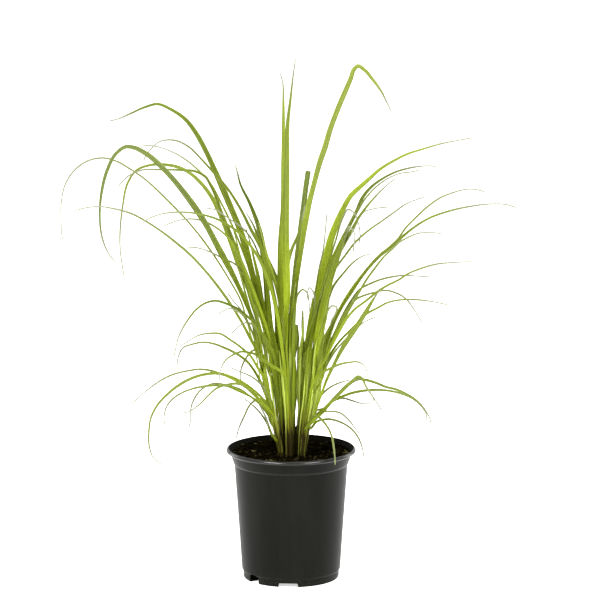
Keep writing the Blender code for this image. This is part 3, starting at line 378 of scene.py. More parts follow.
# Thin and short leaves, which ride in the piece of their stalk.
THIN_LEAVES = blades([
    (4, 0.86, 180, 4.5, -130, (62, 68), [
        (273, 345, -22), (267.5, 328, -31), (250, 272, -46), (236, 235), (222, 205), (210, 183), (200, 172),
        (180, 156), (165, 149), (150, 145.5), (136, 147)]),
    (4, 0.92, 225, 4.5, 30, (62, 68), [
        (274, 345, -6), (266, 330, -8), (258, 306, -9), (248, 283, -9), (237, 266, -8), (222, 258),
        (210, 252), (198, 248), (184, 247)]),
    (2, 0.4, 180, 4.5, -110, (64, 68), [
        (259, 404, -9.5), (248, 395, -18), (236, 388), (225, 385), (215, 383.5), (205, 387), (196, 396),
        (191, 408), (190.5, 420), (188, 431)]),
    (1, 0.97, 180, 4.0, 30, (60, 66), [
        (264, 357, 20), (256, 349.5, 23), (251, 352, 23), (247, 357, 23), (243, 364, 23), (241, 370, 23),
        (241, 383, 24)]),
    (1, 0.97, 180, 3.6, 45, (62, 66), [
        (261, 346, 27), (256, 329, 31), (249, 323, 33), (245, 323, 34), (238, 327, 36), (231, 334, 38)]),
    (1, 0.42, 180, 3.6, 50, (66, 68), [
        (266, 392, 27), (262, 386, 31), (252, 377, 34), (241, 372, 37), (229, 367, 40)]),
    (2, 0.94, 180, 3.6, 30, (58, 62), [
        (258, 355, 0), (250, 327, -1), (241, 310, -2), (234, 302, -3), (227, 292, -5)]),
    (1, 0.96, 180, 3.6, 40, (62, 66), [
        (257, 345, 34), (250, 328, 40), (240, 313, 44), (229, 308.5, 47), (225, 310, 48), (217, 315, 50)]),
    (2, 0.12, 180, 3.8, 12, (60, 64), [(271, 434), (267, 424), (260, 413), (250, 403), (243, 398)]),
    (1, 0.1, 200, 3.8, 30, (58, 62), [(272, 434), (265, 416), (258, 403)]),
    (8, 0.96, 0, 3.8, 20, (64, 68), [
        (313, 318, -2), (326, 282, 4), (342, 250, 8), (354, 229), (364, 212), (375, 208.5), (391, 207)]),
    (8, 0.9, 0, 4.2, 45, (60, 66), [
        (314, 318, 5), (324, 280, 12), (336, 240, 18), (343, 218), (348.5, 209.5), (354, 213), (358, 222),
        (360, 233), (359, 246)]),
    (9, 0.94, 0, 4.0, 60, (60, 66), [
        (319, 335, 24), (327, 300, 29), (338, 262, 34), (346, 238, 40), (351, 228), (354.3, 233), (354, 245),
        (352, 257)]),
    (11, 0.33, 0, 4.0, -35, (60, 64), [
        (316, 411, -18), (325, 408, -22), (334, 401, -26), (343, 398.5, -30), (352.7, 401, -34),
        (362, 403.6, -37), (372, 404, -40)]),
    (10, 0.2, 0, 4.5, 30, (58, 62), [
        (314, 418, 3), (322, 411, 7), (336, 396, 10), (352, 381.5, 14), (360, 378.5, 17), (367, 388),
        (374.5, 399), (379, 406), (383, 412.7)]),
    (11, 0.26, 45, 4.0, -110, (66, 68), [
        (315, 416), (323.6, 412), (332, 411.5), (340.6, 413.3), (348, 419.4), (355, 428), (360, 435)]),
    (8, 0.92, 0, 4.0, 28, (58, 62), [
        (310, 325, 14), (315, 305, 24), (314.6, 296, 26), (312.6, 290.5, 27), (309.6, 287.6, 27),
        (307.6, 291, 27), (307.6, 300, 27)]),
    (9, 0.98, 0, 4.0, 35, (60, 64), [
        (321, 337, 31), (326, 320, 36), (328.5, 310, 38), (332, 306, 39), (336.5, 307, 40), (335.5, 313, 40),
        (331.5, 320, 40), (329.5, 327, 40)]),
    (8, 0.98, 180, 3.6, 4, (40, 45), [(302, 330), (302, 311)]),
    (8, 0.94, 0, 4.4, -60, (56, 64), [
        (309, 335, -5), (317, 303, -3), (330, 266, -3), (342, 240, -5), (350, 226), (358, 211), (366, 198),
        (375, 188), (388, 178.5), (400, 173.5), (412, 171.8), (424, 168.8)]),
    (8, 0.94, 0, 3.4, 16, (60, 66), [
        (308, 330, -2), (315, 295, 8), (320, 265, 10), (323, 252, 10), (325, 235, 10), (327, 212, 9)]),
    (5, 0.92, 180, 3.6, 18, (60, 66), [
        (280, 320, 12), (270, 286, 12), (260, 258, 16), (250, 237, 22), (240, 226, 28), (231, 220, 32),
        (225, 216, 34), (216, 210, 36), (204, 208, 38)]),
    (9, 0.62, 0, 4.2, 6, (60, 66), [
        (322, 380, 14), (326, 368, 12), (335, 352, 12), (347, 338, 14), (355, 330, 16), (363, 323, 18),
        (377, 316.5, 20)]),
])

# Thin leaves that start higher up their stalk than HIGH_START turn pale and grey later, by a share of their
# length.
HIGH_START = 0.8
HIGH_LATE = 0.35

# More leaf bases, which fill the clump between the stalks, and how light each is.
INNER_LEAVES = blades([
    (4, 0.5, 180, 6.0, -8, (12, 30), [(281, 378), (280.5, 350), (281, 325), (282, 303)]),
    (3, 0.5, 180, 11.0, -4, (20, 34), [
        (278.5, 378), (274, 350), (269.5, 325), (267, 300), (265.3, 280), (262, 256), (258, 234),
        (254, 216)]),
    (5, 0.45, 180, 7.0, 0, (-14, 10), [(287, 380), (285.5, 350), (284.5, 320), (285, 298), (286, 280)]),
    (7, 0.4, 0, 7.5, 0, (24, 40), [(291, 385), (290, 360), (289, 335), (290, 310), (293, 284)]),
    (8, 0.3, 180, 5.5, 0, (-20, 20), [(298.5, 395), (298.5, 370), (298, 350), (299, 335)]),
    (8, 0.45, 0, 6.5, 0, (20, 30), [(303.5, 385), (305, 360), (307, 340), (309.5, 320), (313, 296)]),
    (11, 0.35, 0, 6.5, 0, (-20, 30), [(308, 395), (310.5, 375), (313.5, 350), (317, 328)]),
    (9, 0.45, 0, 7.5, 0, (14, 30), [(314, 388), (317, 370), (320, 350), (324, 330), (328, 312)]),
    (10, 0.3, 0, 7.0, 0, (-10, 30), [(313, 400), (316, 385), (318, 368), (321, 352)]),
    (1, 0.4, 180, 6.0, 0, (16, 30), [(270, 401), (266.5, 380), (262, 358), (257, 338), (252, 318)]),
    (6, 0.2, 0, 6.0, 0, (10, 30), [(294, 410), (295.5, 385), (295, 360), (294, 340)]),
    (7, 0.15, 180, 6.0, 0, (-16, 20), [(289.5, 415), (287.5, 395), (285, 370), (283, 345), (281, 318)]),
    (4, 0.6, 180, 7.0, -6, (30, 44), [
        (277, 366), (270, 338), (263, 314), (257, 292), (251, 270), (246, 248)]),
    (2, 0.6, 180, 7.0, 4, (30, 44), [(266, 388), (261, 362), (256, 338), (250, 312), (243, 286), (236, 262)]),
    (3, 0.6, 200, 7.0, -20, (30, 40), [
        (267, 365), (265, 350), (261, 335), (257, 320), (252, 305), (247.5, 290), (244, 275), (240.5, 260),
        (236, 240), (231, 222)]),
    (4, 0.7, 180, 8.0, -30, (24, 36), [
        (268, 345), (264.5, 320), (261.5, 300), (260, 290), (257.5, 275), (254, 260), (250.5, 245),
        (245, 226)]),
    (4, 0.8, 0, 7.0, -24, (24, 40), [
        (283, 340), (282, 320), (280, 305), (277, 290), (272.5, 275), (268, 260), (264, 245), (258, 222)]),
    (8, 0.35, 180, 6.5, 8, (10, 30), [
        (300.5, 380), (300, 362), (301, 348), (303, 335), (303.5, 322), (303, 306)]),
    (8, 0.5, 0, 7.0, 10, (16, 30), [
        (308, 380), (309, 365), (310, 350), (312.5, 335), (316, 318), (321, 296)]),
    (10, 0.7, 0, 6.5, 12, (24, 40), [
        (319, 380), (320.5, 365), (323, 350), (328, 335), (333, 322), (338, 308)]),
    (9, 0.8, 0, 7.0, -10, (24, 36), [(318, 345), (323, 328), (326, 315), (329, 300), (333, 280)]),
    (10, 0.35, 0, 7.0, 14, (-12, 20), [
        (313.5, 412), (317.5, 398), (319.5, 384), (320.5, 370), (322.5, 350), (327, 330)]),
    (7, 0.6, 0, 7.5, 16, (10, 30), [
        (291.5, 380), (291.5, 360), (291.8, 340), (292.5, 320), (294, 300), (296, 282)]),
])
# The inner leaves' tones are set high, partly as painted light against the shade inside the clump.
INNER_TONES = (
    0.65, 0.2, 0.7, 0.55, 0.7, 0.6, 0.4, 0.7, 0.8, 0.7, 0.45, 0.8, 0.5, 0.8, 0.7, 0.5, 0.7, 0.75, 0.35, 0.5,
    0.9, 0.8, 0.45)

# Young stalks between the others, each in the piece of an older one: the older one's number, how light the
# young one is, how dark its foot gets, and then the same as for a stalk above.
YOUNG_STALKS = [
    (2, 0.5, 0.9, 279, (6, 4), (1.6, 1.1), [(276, 430), (274, 410), (272.5, 390), (270.5, 370), (268, 350)]),
    (4, 0.3, 1.1, 282.5, (-4, -8), (1.7, 1.2), [
        (280, 430), (276.3, 408), (274.2, 388), (272.3, 368), (270, 345)]),
    (3, 0.35, 1.15, 284, (9, 9), (1.7, 1.2), [
        (282.5, 430), (281.5, 410), (280.5, 390), (279, 370), (278, 350)]),
    (5, 0.8, 1.25, 287.5, (17, 18), (1.6, 1.3), [
        (286.5, 430), (285, 408), (283, 388), (281.5, 370), (279, 350)]),
    (7, 0.5, 1.1, 292, (10, 10), (1.6, 1.2), [
        (292, 430), (292.5, 408), (292.5, 388), (293.5, 368), (295, 350)]),
    (8, 0.9, 1.1, 296.5, (2, 2), (1.5, 1.2), [
        (297.5, 428), (299, 405), (299.5, 385), (300, 365), (301, 345)]),
    (8, 0.5, 1.15, 299.5, (6, 6), (1.7, 1.3), [
        (301.5, 428), (304.5, 405), (306, 385), (307, 365), (308.5, 345)]),
    (11, 0.3, 1.15, 302, (-8, -12), (1.8, 1.4), [
        (305, 428), (306.5, 408), (308, 388), (309.5, 368), (311, 350)]),
    (9, 0.85, 1.0, 303, (13, 14), (1.9, 1.5), [(306, 430), (309.5, 412), (313, 395), (316, 380), (319, 362)]),
    (10, 0.8, 0.9, 304.5, (4, 4), (1.9, 1.5), [
        (308.5, 430), (312, 412), (315, 396), (317.5, 380), (320, 362)]),
    (6, 0.2, 1.2, 289.5, (-8, -8), (1.8, 1.4), [
        (289, 430), (288, 408), (287.5, 388), (287.5, 368), (288, 350)]),
    (8, 0.3, 1.2, 295.5, (-12, -13), (2.2, 1.7), [(295.7, 440), (295.9, 434), (296.1, 429), (296.3, 425)]),
    (9, 0.9, 0.72, 300.5, (16, 16), (1.2, 1.0), [
        (302, 438), (303.5, 425), (305.5, 408), (307, 392), (308, 375)]),
    (1, 0.9, 0.72, 282.5, (16, 18), (1.3, 1.0), [
        (280, 438), (277, 424), (274, 406), (271.5, 390), (269.5, 372)]),
    (5, 1.2, 1.0, 286.5, (20, 22), (0.9, 0.7), [
        (286, 430), (285.5, 412), (284.5, 396), (283.3, 382), (282, 366)]),
    (5, 0.0, 1.3, 290.5, (20, 21), (1.0, 0.8), [
        (290.5, 430), (290.7, 412), (291, 396), (291.3, 380), (292, 366)]),
    (8, 1.2, 1.0, 298.5, (19, 20), (0.9, 0.7), [
        (299.5, 432), (301, 416), (303, 402), (304.2, 388), (305, 374)]),
    (9, 0.0, 1.3, 301.5, (20, 21), (1.1, 0.9), [
        (303.2, 430), (305, 414), (307, 400), (308.5, 386), (309.7, 370)]),
    (10, 1.2, 1.1, 304.5, (20, 21), (0.9, 0.7), [
        (307, 430), (309.5, 414), (311.5, 400), (313, 386), (314, 372)]),
    (2, 0.0, 1.2, 281.0, (20, 21), (1.0, 0.8), [
        (279.3, 430), (277.8, 414), (276.5, 400), (275, 386), (273.5, 372)]),
]

# How light and how grey each leaf is, from 0 to 1.
LEAF_LOOKS = {
    **numbered("leaf_left", [
        (0.2, 0.1), (0.08, 0.7), (0.46, 0.4), (0.3, 0.7), (0.2, 0.2), (0.36, 0.2), (0.02, 0.0), (0.34, 0.2),
        (0.5, 0.1), (0.3, 0.8), (0.25, 0.0), (0.12, 0.2), (0.35, 0.5), (0.5, 0.6), (0.3, 0.2), (0.4, 0.8),
        (0.45, 0.6), (0.4, 0.6), (0.4, 0.6), (0.4, 0.5)]),
    **numbered("leaf_middle", [
        # leaf_middle_07 is made nearly the lightest, painted light on a blade that sits in shade.
        (0.72, 0.4), (0.46, 0.4), (0.15, 0.5), (0.6, 0.6), (0.5, 0.4), (0.35, 0.3), (0.95, 0.5)]),
    **numbered("leaf_right", [
        (0.8, 0.3), (0.12, 0.2), (0.32, 0.3), (0.35, 0.5), (0.4, 0.3), (0.32, 0.3), (0.25, 0.4), (0.4, 0.5),
        (0.45, 0.5), (0.3, 0.5), (0.3, 0.6), (0.55, 0.4), (0.45, 0.4), (0.45, 0.5), (0.35, 0.4), (0.35, 0.4),
        (0.45, 0.5), (0.2, 0.5), (0.4, 0.7), (0.1, 0.5)]),
}

# How light each stalk is, and how dark its foot gets.
STALK_LOOKS = numbered("stalk", [
    (0.65, 1.05), (0.55, 1.08), (0.45, 1.2), (0.4, 1.25), (0.55, 1.3), (0.4, 1.25), (0.5, 1.2), (0.5, 1.2),
    (0.6, 1.25), (0.6, 1.2), (0.45, 1.25)])

# Shapes shared with the plain model.


def on_sheet_line(column, row, toward):
    """The point that the front view shows at a column and row, on the upright plane at y = -toward."""
    eye = SHEET_MIDDLE + TO_EYE * EYE_DISTANCE
    across = Vector(((column - MIDDLE) * POINT, 0.0, 0.0))
    sight = SHEET_MIDDLE + across + SHEET_UP * ((MIDDLE - row) * POINT) - eye
    return eye + sight * ((-toward - eye.y) / sight.y)


def smooth_curve(points):
    """Closely spaced points on a smooth curve through the given ones."""
    steps = [(after - before).length for before, after in zip(points, points[1:])]
    slopes = [(after - before) / step for before, after, step in zip(points, points[1:], steps)]
    tangents = [slopes[0]]
    for before, after, low, high in zip(slopes, slopes[1:], steps, steps[1:]):
        tangents.append((before * high + after * low) / (low + high))
    tangents.append(slopes[-1])
    curve = []
    for index, step in enumerate(steps):
        for fine in range(FINE_STEPS):
            t = fine / FINE_STEPS
            curve.append(points[index] * (2 * t**3 - 3 * t**2 + 1)
                         + tangents[index] * (step * (t**3 - 2 * t**2 + t))
                         + points[index + 1] * (3 * t**2 - 2 * t**3)
                         + tangents[index + 1] * (step * (t**3 - t**2)))
    curve.append(points[-1])
    return np.array([tuple(point) for point in curve])


def running_cost(curve, bend_cost):
    """How much of the curve lies behind each point: its length, and more where it bends."""
    steps = np.diff(curve, axis=0)
    lengths = np.linalg.norm(steps, axis=1)
    ways = steps / lengths[:, None]
    bends = np.arccos(np.clip((ways[1:] * ways[:-1]).sum(axis=1), -1.0, 1.0))
    cost = lengths.copy()
    cost[1:] += bend_cost * bends
    return np.concatenate([[0.0], np.cumsum(cost)])


def place_at(curve, cost, value):
    """The point of the curve where its running cost has the given value."""
    return Vector([float(np.interp(value, cost, curve[:, axis])) for axis in range(3)])


def ease(low, high, value):
    """0 at low, 1 at high, and a smooth change between. Low may be the greater number."""
    share = min(max((value - low) / (high - low), 0.0), 1.0)
    return share * share * (3 - 2 * share)


def between(pair, share):
    """The number at a share of the way from the first of a pair to the second."""
    return pair[0] + (pair[1] - pair[0]) * share


def level_way(bearing):
    """The level direction at a bearing in degrees, where 0 is right and 90 is back."""
    turn = math.radians(bearing)
    return Vector((math.cos(turn), math.sin(turn), 0.0))


def stalk_curve(stalk):
    """The stalk's middle line, from the soil up."""
    points = [Vector(((stalk.foot - AXIS_COLUMN) * POINT, -stalk.toward[0], SOIL_TOP + GAP))]
    for index, (column, row) in enumerate(stalk.line, 1):
        points.append(on_sheet_line(column, row, between(stalk.toward, index / len(stalk.line))))
    return smooth_curve(points)


STALK_CURVES = {name: stalk_curve(stalk) for name, stalk in STALKS.items()}

# How a fine blade differs from the plain one: a factor on its width, how late it tapers, its share of the
# width at the root, and the share of the length where it is full. Then how much darker it is toward its root,
# how grey it gets where it is thin, and how much later it turns pale and grey.
Shape = namedtuple("Shape", "full taper root swell dim fade late")
USUAL = Shape(1.0, 2.6, ROOT_SHARE, 0.3, 0.0, 1.0, 0.0)
INNER = USUAL._replace(full=0.84, fade=0.2)
SHAPES = {
    "leaf_left_01": {"taper": 3.0},
    "leaf_left_03": {"full": 1.15, "taper": 1.5},
    "leaf_left_04": {"full": 0.8},
    "leaf_left_05": {"taper": 2.0},
    "leaf_left_06": {"full": 1.2, "taper": 1.8},
    "leaf_left_07": {"full": 1.1, "taper": 4.0},
    "leaf_left_11": {"full": 1.3, "taper": 4.0},
    "leaf_left_13": {"full": 0.75},
    "leaf_left_14": {"full": 0.7},
    "leaf_middle_01": {"taper": 3.0},
    "leaf_middle_02": {"taper": 3.0},
    "leaf_middle_04": {"full": 0.9, "taper": 4.0, "dim": 0.5},
    "leaf_middle_05": {"full": 1.5, "taper": 4.0},
    "leaf_middle_07": {"full": 1.25},
    "leaf_right_01": {"taper": 1.4},
    "leaf_right_02": {"taper": 2.0},
    "leaf_right_06": {"taper": 1.8},
    "leaf_right_07": {"full": 0.8},
    "leaf_right_09": {"full": 0.7},
    "leaf_right_13": {"full": 0.85, "taper": 5.0, "root": 0.18, "swell": 0.55},
    "leaf_right_18": {"fade": 0.3},
    "leaf_right_20": {"fade": 0.3},
}


def stalk_place(name, share):
    """The middle point and the radius of a stalk at a share of its length."""
    curve = STALK_CURVES[name]
    length = running_cost(curve, 0.0)
    return place_at(curve, length, length[-1] * share), between(STALKS[name].radius, share)


def blade_points(blade, grown_in):
    """The points of a blade's midrib with its sheath below, and the number of sheath points."""
    outward = level_way(blade.side)
    points = []
    if grown_in:
        sheath = 0
        points.append(stalk_place(blade.stalk, blade.start)[0])
    else:
        for share in SHEATH_SHARES:
            if blade.start - share >= LOWEST_SHEATH:
                middle, radius = stalk_place(blade.stalk, blade.start - share)
                points.append(middle + outward * (radius + 0.15 + 0.9 * ease(0.5, 0.0, share)))
        sheath = len(points)
        for share in (blade.start, min(blade.start + LEAVING_SHARE, 1.0)):
            middle, radius = stalk_place(blade.stalk, share)
            points.append(middle + outward * (radius + GAP + PLAIN_THICK))
    root_toward = -points[-1].y
    before = (AXIS_COLUMN + points[-1].x / POINT, blade.line[0][1])
    travel = [0.0]
    for place in blade.line:
        travel.append(travel[-1] + abs(place[0] - before[0]) + ROW_WEIGHT * abs(place[1] - before[1]))
        before = place
    for place, distance in zip(blade.line, travel[1:]):
        toward = place[2] if len(place) == 3 else root_toward + blade.reach * distance / travel[-1]
        points.append(on_sheet_line(place[0], place[1], toward))
    return points, sheath


def blade_width(blade, share, cut, shape):
    """The blade's width at a share of its length."""
    wide = blade.wide * shape.full * (shape.root + (1 - shape.root) * ease(0.0, shape.swell, share))
    if cut:
        return wide * (1 - 0.3 * max(share, 0.0))
    taper = 1 - max(0.0, (share - TAPER_FROM) / (1 - TAPER_FROM)) ** shape.taper
    return max(wide * taper, TIP_WIDTH * ease(1.0, 0.97, share) + END_WIDTH)


def blade_turn(blade, share, leans_left, grown_in):
    """The angle between the blade's upper face and the eye, in radians."""
    bearing = math.radians(blade.side)
    lean = 1.0 if leans_left else -1.0
    root = math.atan2(-math.cos(bearing) * lean, math.sin(bearing))
    middle, end = (math.radians(turn) for turn in blade.turn)
    if grown_in:
        root = middle
    elif root < middle - math.pi:
        root += 2 * math.pi
    if share < TURNED_BY:
        return root + (middle - root) * ease(0.02, TURNED_BY, share)
    return middle + (end - middle) * ease(TURNED_BY, 1.0, share)


# Mesh parts. Their points carry what the material needs: how far across and along the blade they lie, how
# light it is, and how pale, under, browned at the foot, grey and dry it is there.
KEYS = ("across", "run", "tone", "pale", "under", "base", "tail", "dry")


def tube_faces(rings, around):
    """Faces of a closed tube of rings, with its two ends closed."""
    low = np.arange(around)
    after = (low + 1) % around
    faces = []
    for ring in range(rings - 1):
        base = ring * around
        faces.extend(zip(base + low, base + after, base + around + after, base + around + low))
    faces.append(tuple(reversed(range(around))))
    last = (rings - 1) * around
    faces.append(tuple(range(last, last + around)))
    return [tuple(int(corner) for corner in face) for face in faces]


def note(values, around, **ring):
    """Keeps what one ring's points carry. A single number goes to all of them, and what isn't given is 0."""
    for key in KEYS:
        values[key].append(np.broadcast_to(ring.get(key, 0.0), around))


def ringed_part(rings, values):
    """A closed part from its rings of points and what they carry."""
    faces = tube_faces(len(rings), len(rings[0]))
    return Part(np.concatenate(rings), faces, {key: np.concatenate(each) for key, each in values.items()})


def foot_dark(place, strength):
    """How far each point has turned brown and dark toward the soil."""
    heights = place[:, 2]
    slow, near_soil = (1 - np.clip((heights - low) / fade, 0.0, 1.0) for low, fade in (FOOT_BROWN, FOOT_NEAR_SOIL))
    return np.maximum(strength * slow, 1.2 * near_soil)


def open_section(width, share, run, wave):
    """A channelled section with wavy edges: how far its points lie to the side and out toward its face."""
    deep = 0.32 + 0.06 * ease(0.3, 0.0, share) + 0.36 * ease(4.5, 1.8, width)
    edges = np.abs(ACROSS) ** 3 * width * 0.03 * np.sin(run / 13.0 + wave + 1.7 * np.sign(ACROSS))
    return ACROSS * width / 2, width * deep / 2 * (2 * CHANNEL - 1) + edges


def wrapped_section(blade, below):
    """The same for the sheath, which wraps the stalk more the further below the blade it is (0 to 1)."""
    bow = between(STALKS[blade.stalk].radius, max(blade.start - 0.5 * below, 0.0)) + SHEATH_CLEARANCE
    angles = ACROSS * (1.15 + 1.1 * below)
    return bow * np.sin(angles), bow * (1 - np.cos(angles))


def into_box(place):
    """The points, moved together to where none is past the plain model's box."""
    past_high = np.maximum((place - BOX_HIGH).max(axis=0), 0)
    return place - past_high + np.maximum((BOX_LOW - place).max(axis=0), 0)


def blade_part(blade, tone, pale, grown_in=False, cut=False, shape=USUAL):
    """One channelled blade with a midrib, which grows out of a sheath that wraps the stalk."""
    dice = random.Random(f"{blade.stalk} {blade.start} {blade.side} {blade.reach}")
    wave = dice.uniform(0.0, PHASE)
    dry = dice.uniform(0.1, 0.9)
    points, sheath = blade_points(blade, grown_in)
    curve = smooth_curve(points)
    length = running_cost(curve, 0.0)
    cost = running_cost(curve, BEND_COST)
    begin = length[sheath * FINE_STEPS]
    leans_left = max(curve[:, 0] - curve[0, 0], key=abs) < 0
    count = max(LEAST_SECTIONS, round(cost[-1] / SECTION))
    rings = []
    values = {key: [] for key in KEYS}
    for section in range(count + 1):
        value = cost[-1] * section / count
        middle = place_at(curve, cost, value)
        ahead = place_at(curve, cost, min(value + LOOK_AHEAD, cost[-1]))
        behind = place_at(curve, cost, max(value - LOOK_AHEAD, 0.0))
        along = (ahead - behind).normalized()
        run = float(np.interp(value, cost, length))
        share = (run - begin) / (length[-1] - begin)

        facing = (TO_EYE - along * along.dot(TO_EYE)).normalized()
        upper = along.cross(facing) * (1.0 if leans_left else -1.0)
        turn = blade_turn(blade, share, leans_left, grown_in)
        face = facing * math.cos(turn) + upper * math.sin(turn)
        side = face.cross(along)

        width = max(blade_width(blade, max(share, 0.0), cut, shape), LEAST_WIDTH)
        sideways, out = open_section(width, share, run, wave)
        wrap = 0.0 if grown_in else 1 - ease(0.0, UNWRAPPED_BY, share)
        if wrap > 0:
            below = min(max(-share * (length[-1] - begin) / max(begin, 1.0), 0.0), 1.0)
            wrapped_sideways, wrapped_out = wrapped_section(blade, below)
            sideways = sideways * (1 - wrap) + wrapped_sideways * wrap
            out = out * (1 - wrap) + wrapped_out * wrap
        thick = LEAF_THICK * min(1.0, 0.7 + width / 8.0)
        skin = thick / 2 * FULLNESS * UPWARD - KEEL * thick * 1.1 * min(1.0, width / 5.0) * (1 - wrap)
        ring = into_box(np.array(middle)[None, :] + sideways[:, None] * np.array(side)[None, :]
                        + (out + skin)[:, None] * np.array(face)[None, :])
        rings.append(ring)

        # The tone is raised toward the root: painted light that lifts the blades where the clump shades them.
        shade = tone + (0.50 * tone + 0.32) * ease(0.55, 0.15, share) - shape.dim * ease(0.45, 0.28, share)
        grey = shape.fade * ease(4.4, 1.6, width) * ease(0.15 + shape.late, 0.50 + shape.late, share)
        note(values, len(ACROSS), across=ACROSS, run=run, tone=shade,
             pale=pale * ease(0.10 + shape.late, 0.65 + shape.late, share),
             under=(1 - UPWARD) / 2 * FULLNESS,
             base=foot_dark(ring, STALK_LOOKS[blade.stalk][1]) * ease(0.2, 0.0, share),
             tail=0.0 if cut else grey,
             dry=0.45 * ease(0.975, 1.0, share) if cut else dry * ease(0.90, 1.0, share))
    return ringed_part(rings, values)


def stalk_part(stalk, tone, dark):
    """A stalk of rolled sheaths with a foot in the soil and a furled top."""
    curve = stalk_curve(stalk)
    length = running_cost(curve, 0.0)
    dice = random.Random(stalk.foot)
    phases = [dice.uniform(0.0, PHASE) for _ in RIDGES]
    angles = 2 * np.pi * np.arange(STALK_SIDES) / STALK_SIDES
    rings = []
    values = {key: [] for key in KEYS}
    for share in [*SUNK_SHARES, *(step / STALK_STEPS for step in range(STALK_STEPS + 1))]:
        middle = place_at(curve, length, length[-1] * max(share, 0.0))
        if share < 0:
            middle.z += share * SUNK_LENGTH
        radius = between(stalk.radius, max(share, 0.0))
        radius *= 0.92 + 0.12 * ease(0.10, 0.0, share)
        radius *= 1 - 0.72 * ease(0.80, 1.0, share)
        shape = np.ones(STALK_SIDES)
        for phase, (height, ridges, twist) in zip(phases, RIDGES):
            shape = shape + height * np.sin(ridges * angles + phase + twist * share)
        ring = np.stack([np.cos(angles) * shape, np.sin(angles) * shape, np.zeros(STALK_SIDES)], axis=1)
        ring = np.array(middle)[None, :] + ring * radius
        rings.append(ring)
        note(values, STALK_SIDES, across=np.sin(angles * 2), run=length[-1] * share, tone=tone,
             base=foot_dark(ring, dark))
    return ringed_part(rings, values)


def put(name, data):
    """A new object in the scene."""
    made = bpy.data.objects.new(name, data)
    bpy.context.scene.collection.objects.link(made)
    return made


def add_piece(name, parts, materials, nodes, sharp):
    """One object from parts, each with the number of its material, which stands for CAD nodes."""
    points = np.concatenate([part.points for part, _ in parts]) * MM
    faces = []
    owners = []
    start = 0
    for part, number in parts:
        faces.extend(tuple(corner + start for corner in face) for face in part.faces)
        owners.extend([number] * len(part.faces))
        start += len(part.points)
    mesh = bpy.data.meshes.new(name)
    mesh.from_pydata(points.tolist(), [], faces)
    for key in parts[0][0].values:
        carried = np.concatenate([part.values[key] for part, _ in parts]).astype(np.float32)
        mesh.attributes.new(key, "FLOAT", "POINT").data.foreach_set("value", carried)
    for material in materials:
        mesh.materials.append(material)
    mesh.polygons.foreach_set("material_index", owners)
    mesh.shade_smooth()
    mesh.set_sharp_from_angle(angle=math.radians(sharp))
    mesh.update()
    piece = put(name, mesh)
    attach(piece, BODY)
    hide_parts(*nodes)
    return piece


# Materials.

# The light, middle and dark green of the blades and of the sheaths, and the other colours of both. The sheath
# greens, which also colour the stalks and the inner leaves, are lighter than the blade greens, partly their
# own paler green and partly painted light against the shade inside the clump.
BLADE_GREENS = (0.205, 0.262, 0.008), (0.130, 0.170, 0.006), (0.052, 0.078, 0.004)
SHEATH_GREENS = (0.400, 0.490, 0.085), (0.210, 0.272, 0.012), (0.050, 0.074, 0.002)
MIDRIB = (0.28, 0.34, 0.04)
UNDERSIDE = (0.12, 0.165, 0.012)
PALE_GREEN = (0.185, 0.215, 0.105)
TAIL_GREY = (0.200, 0.206, 0.155)
FOOT_OLIVE = (0.130, 0.125, 0.006)
FOOT_DARK = (0.015, 0.010, 0.0025)
DRY_TAN = (0.26, 0.22, 0.13)

# The pot's plastic, smeared and scuffed, and the soil's mix, crumbs, chips and bark.
PLASTIC = (0.0036, 0.0040, 0.0028)
SMEARED = (0.0060, 0.0063, 0.0046)
MUD = (0.05, 0.042, 0.032)
SCUFF = (0.055, 0.052, 0.045)
MIX_DARK = (0.0010, 0.0007, 0.0003)
MIX_LIGHT = (0.0040, 0.0032, 0.0012)
CRUMB = (0.018, 0.016, 0.006)
CHIP = (0.013, 0.010, 0.004)
BARK = (0.060, 0.054, 0.020)


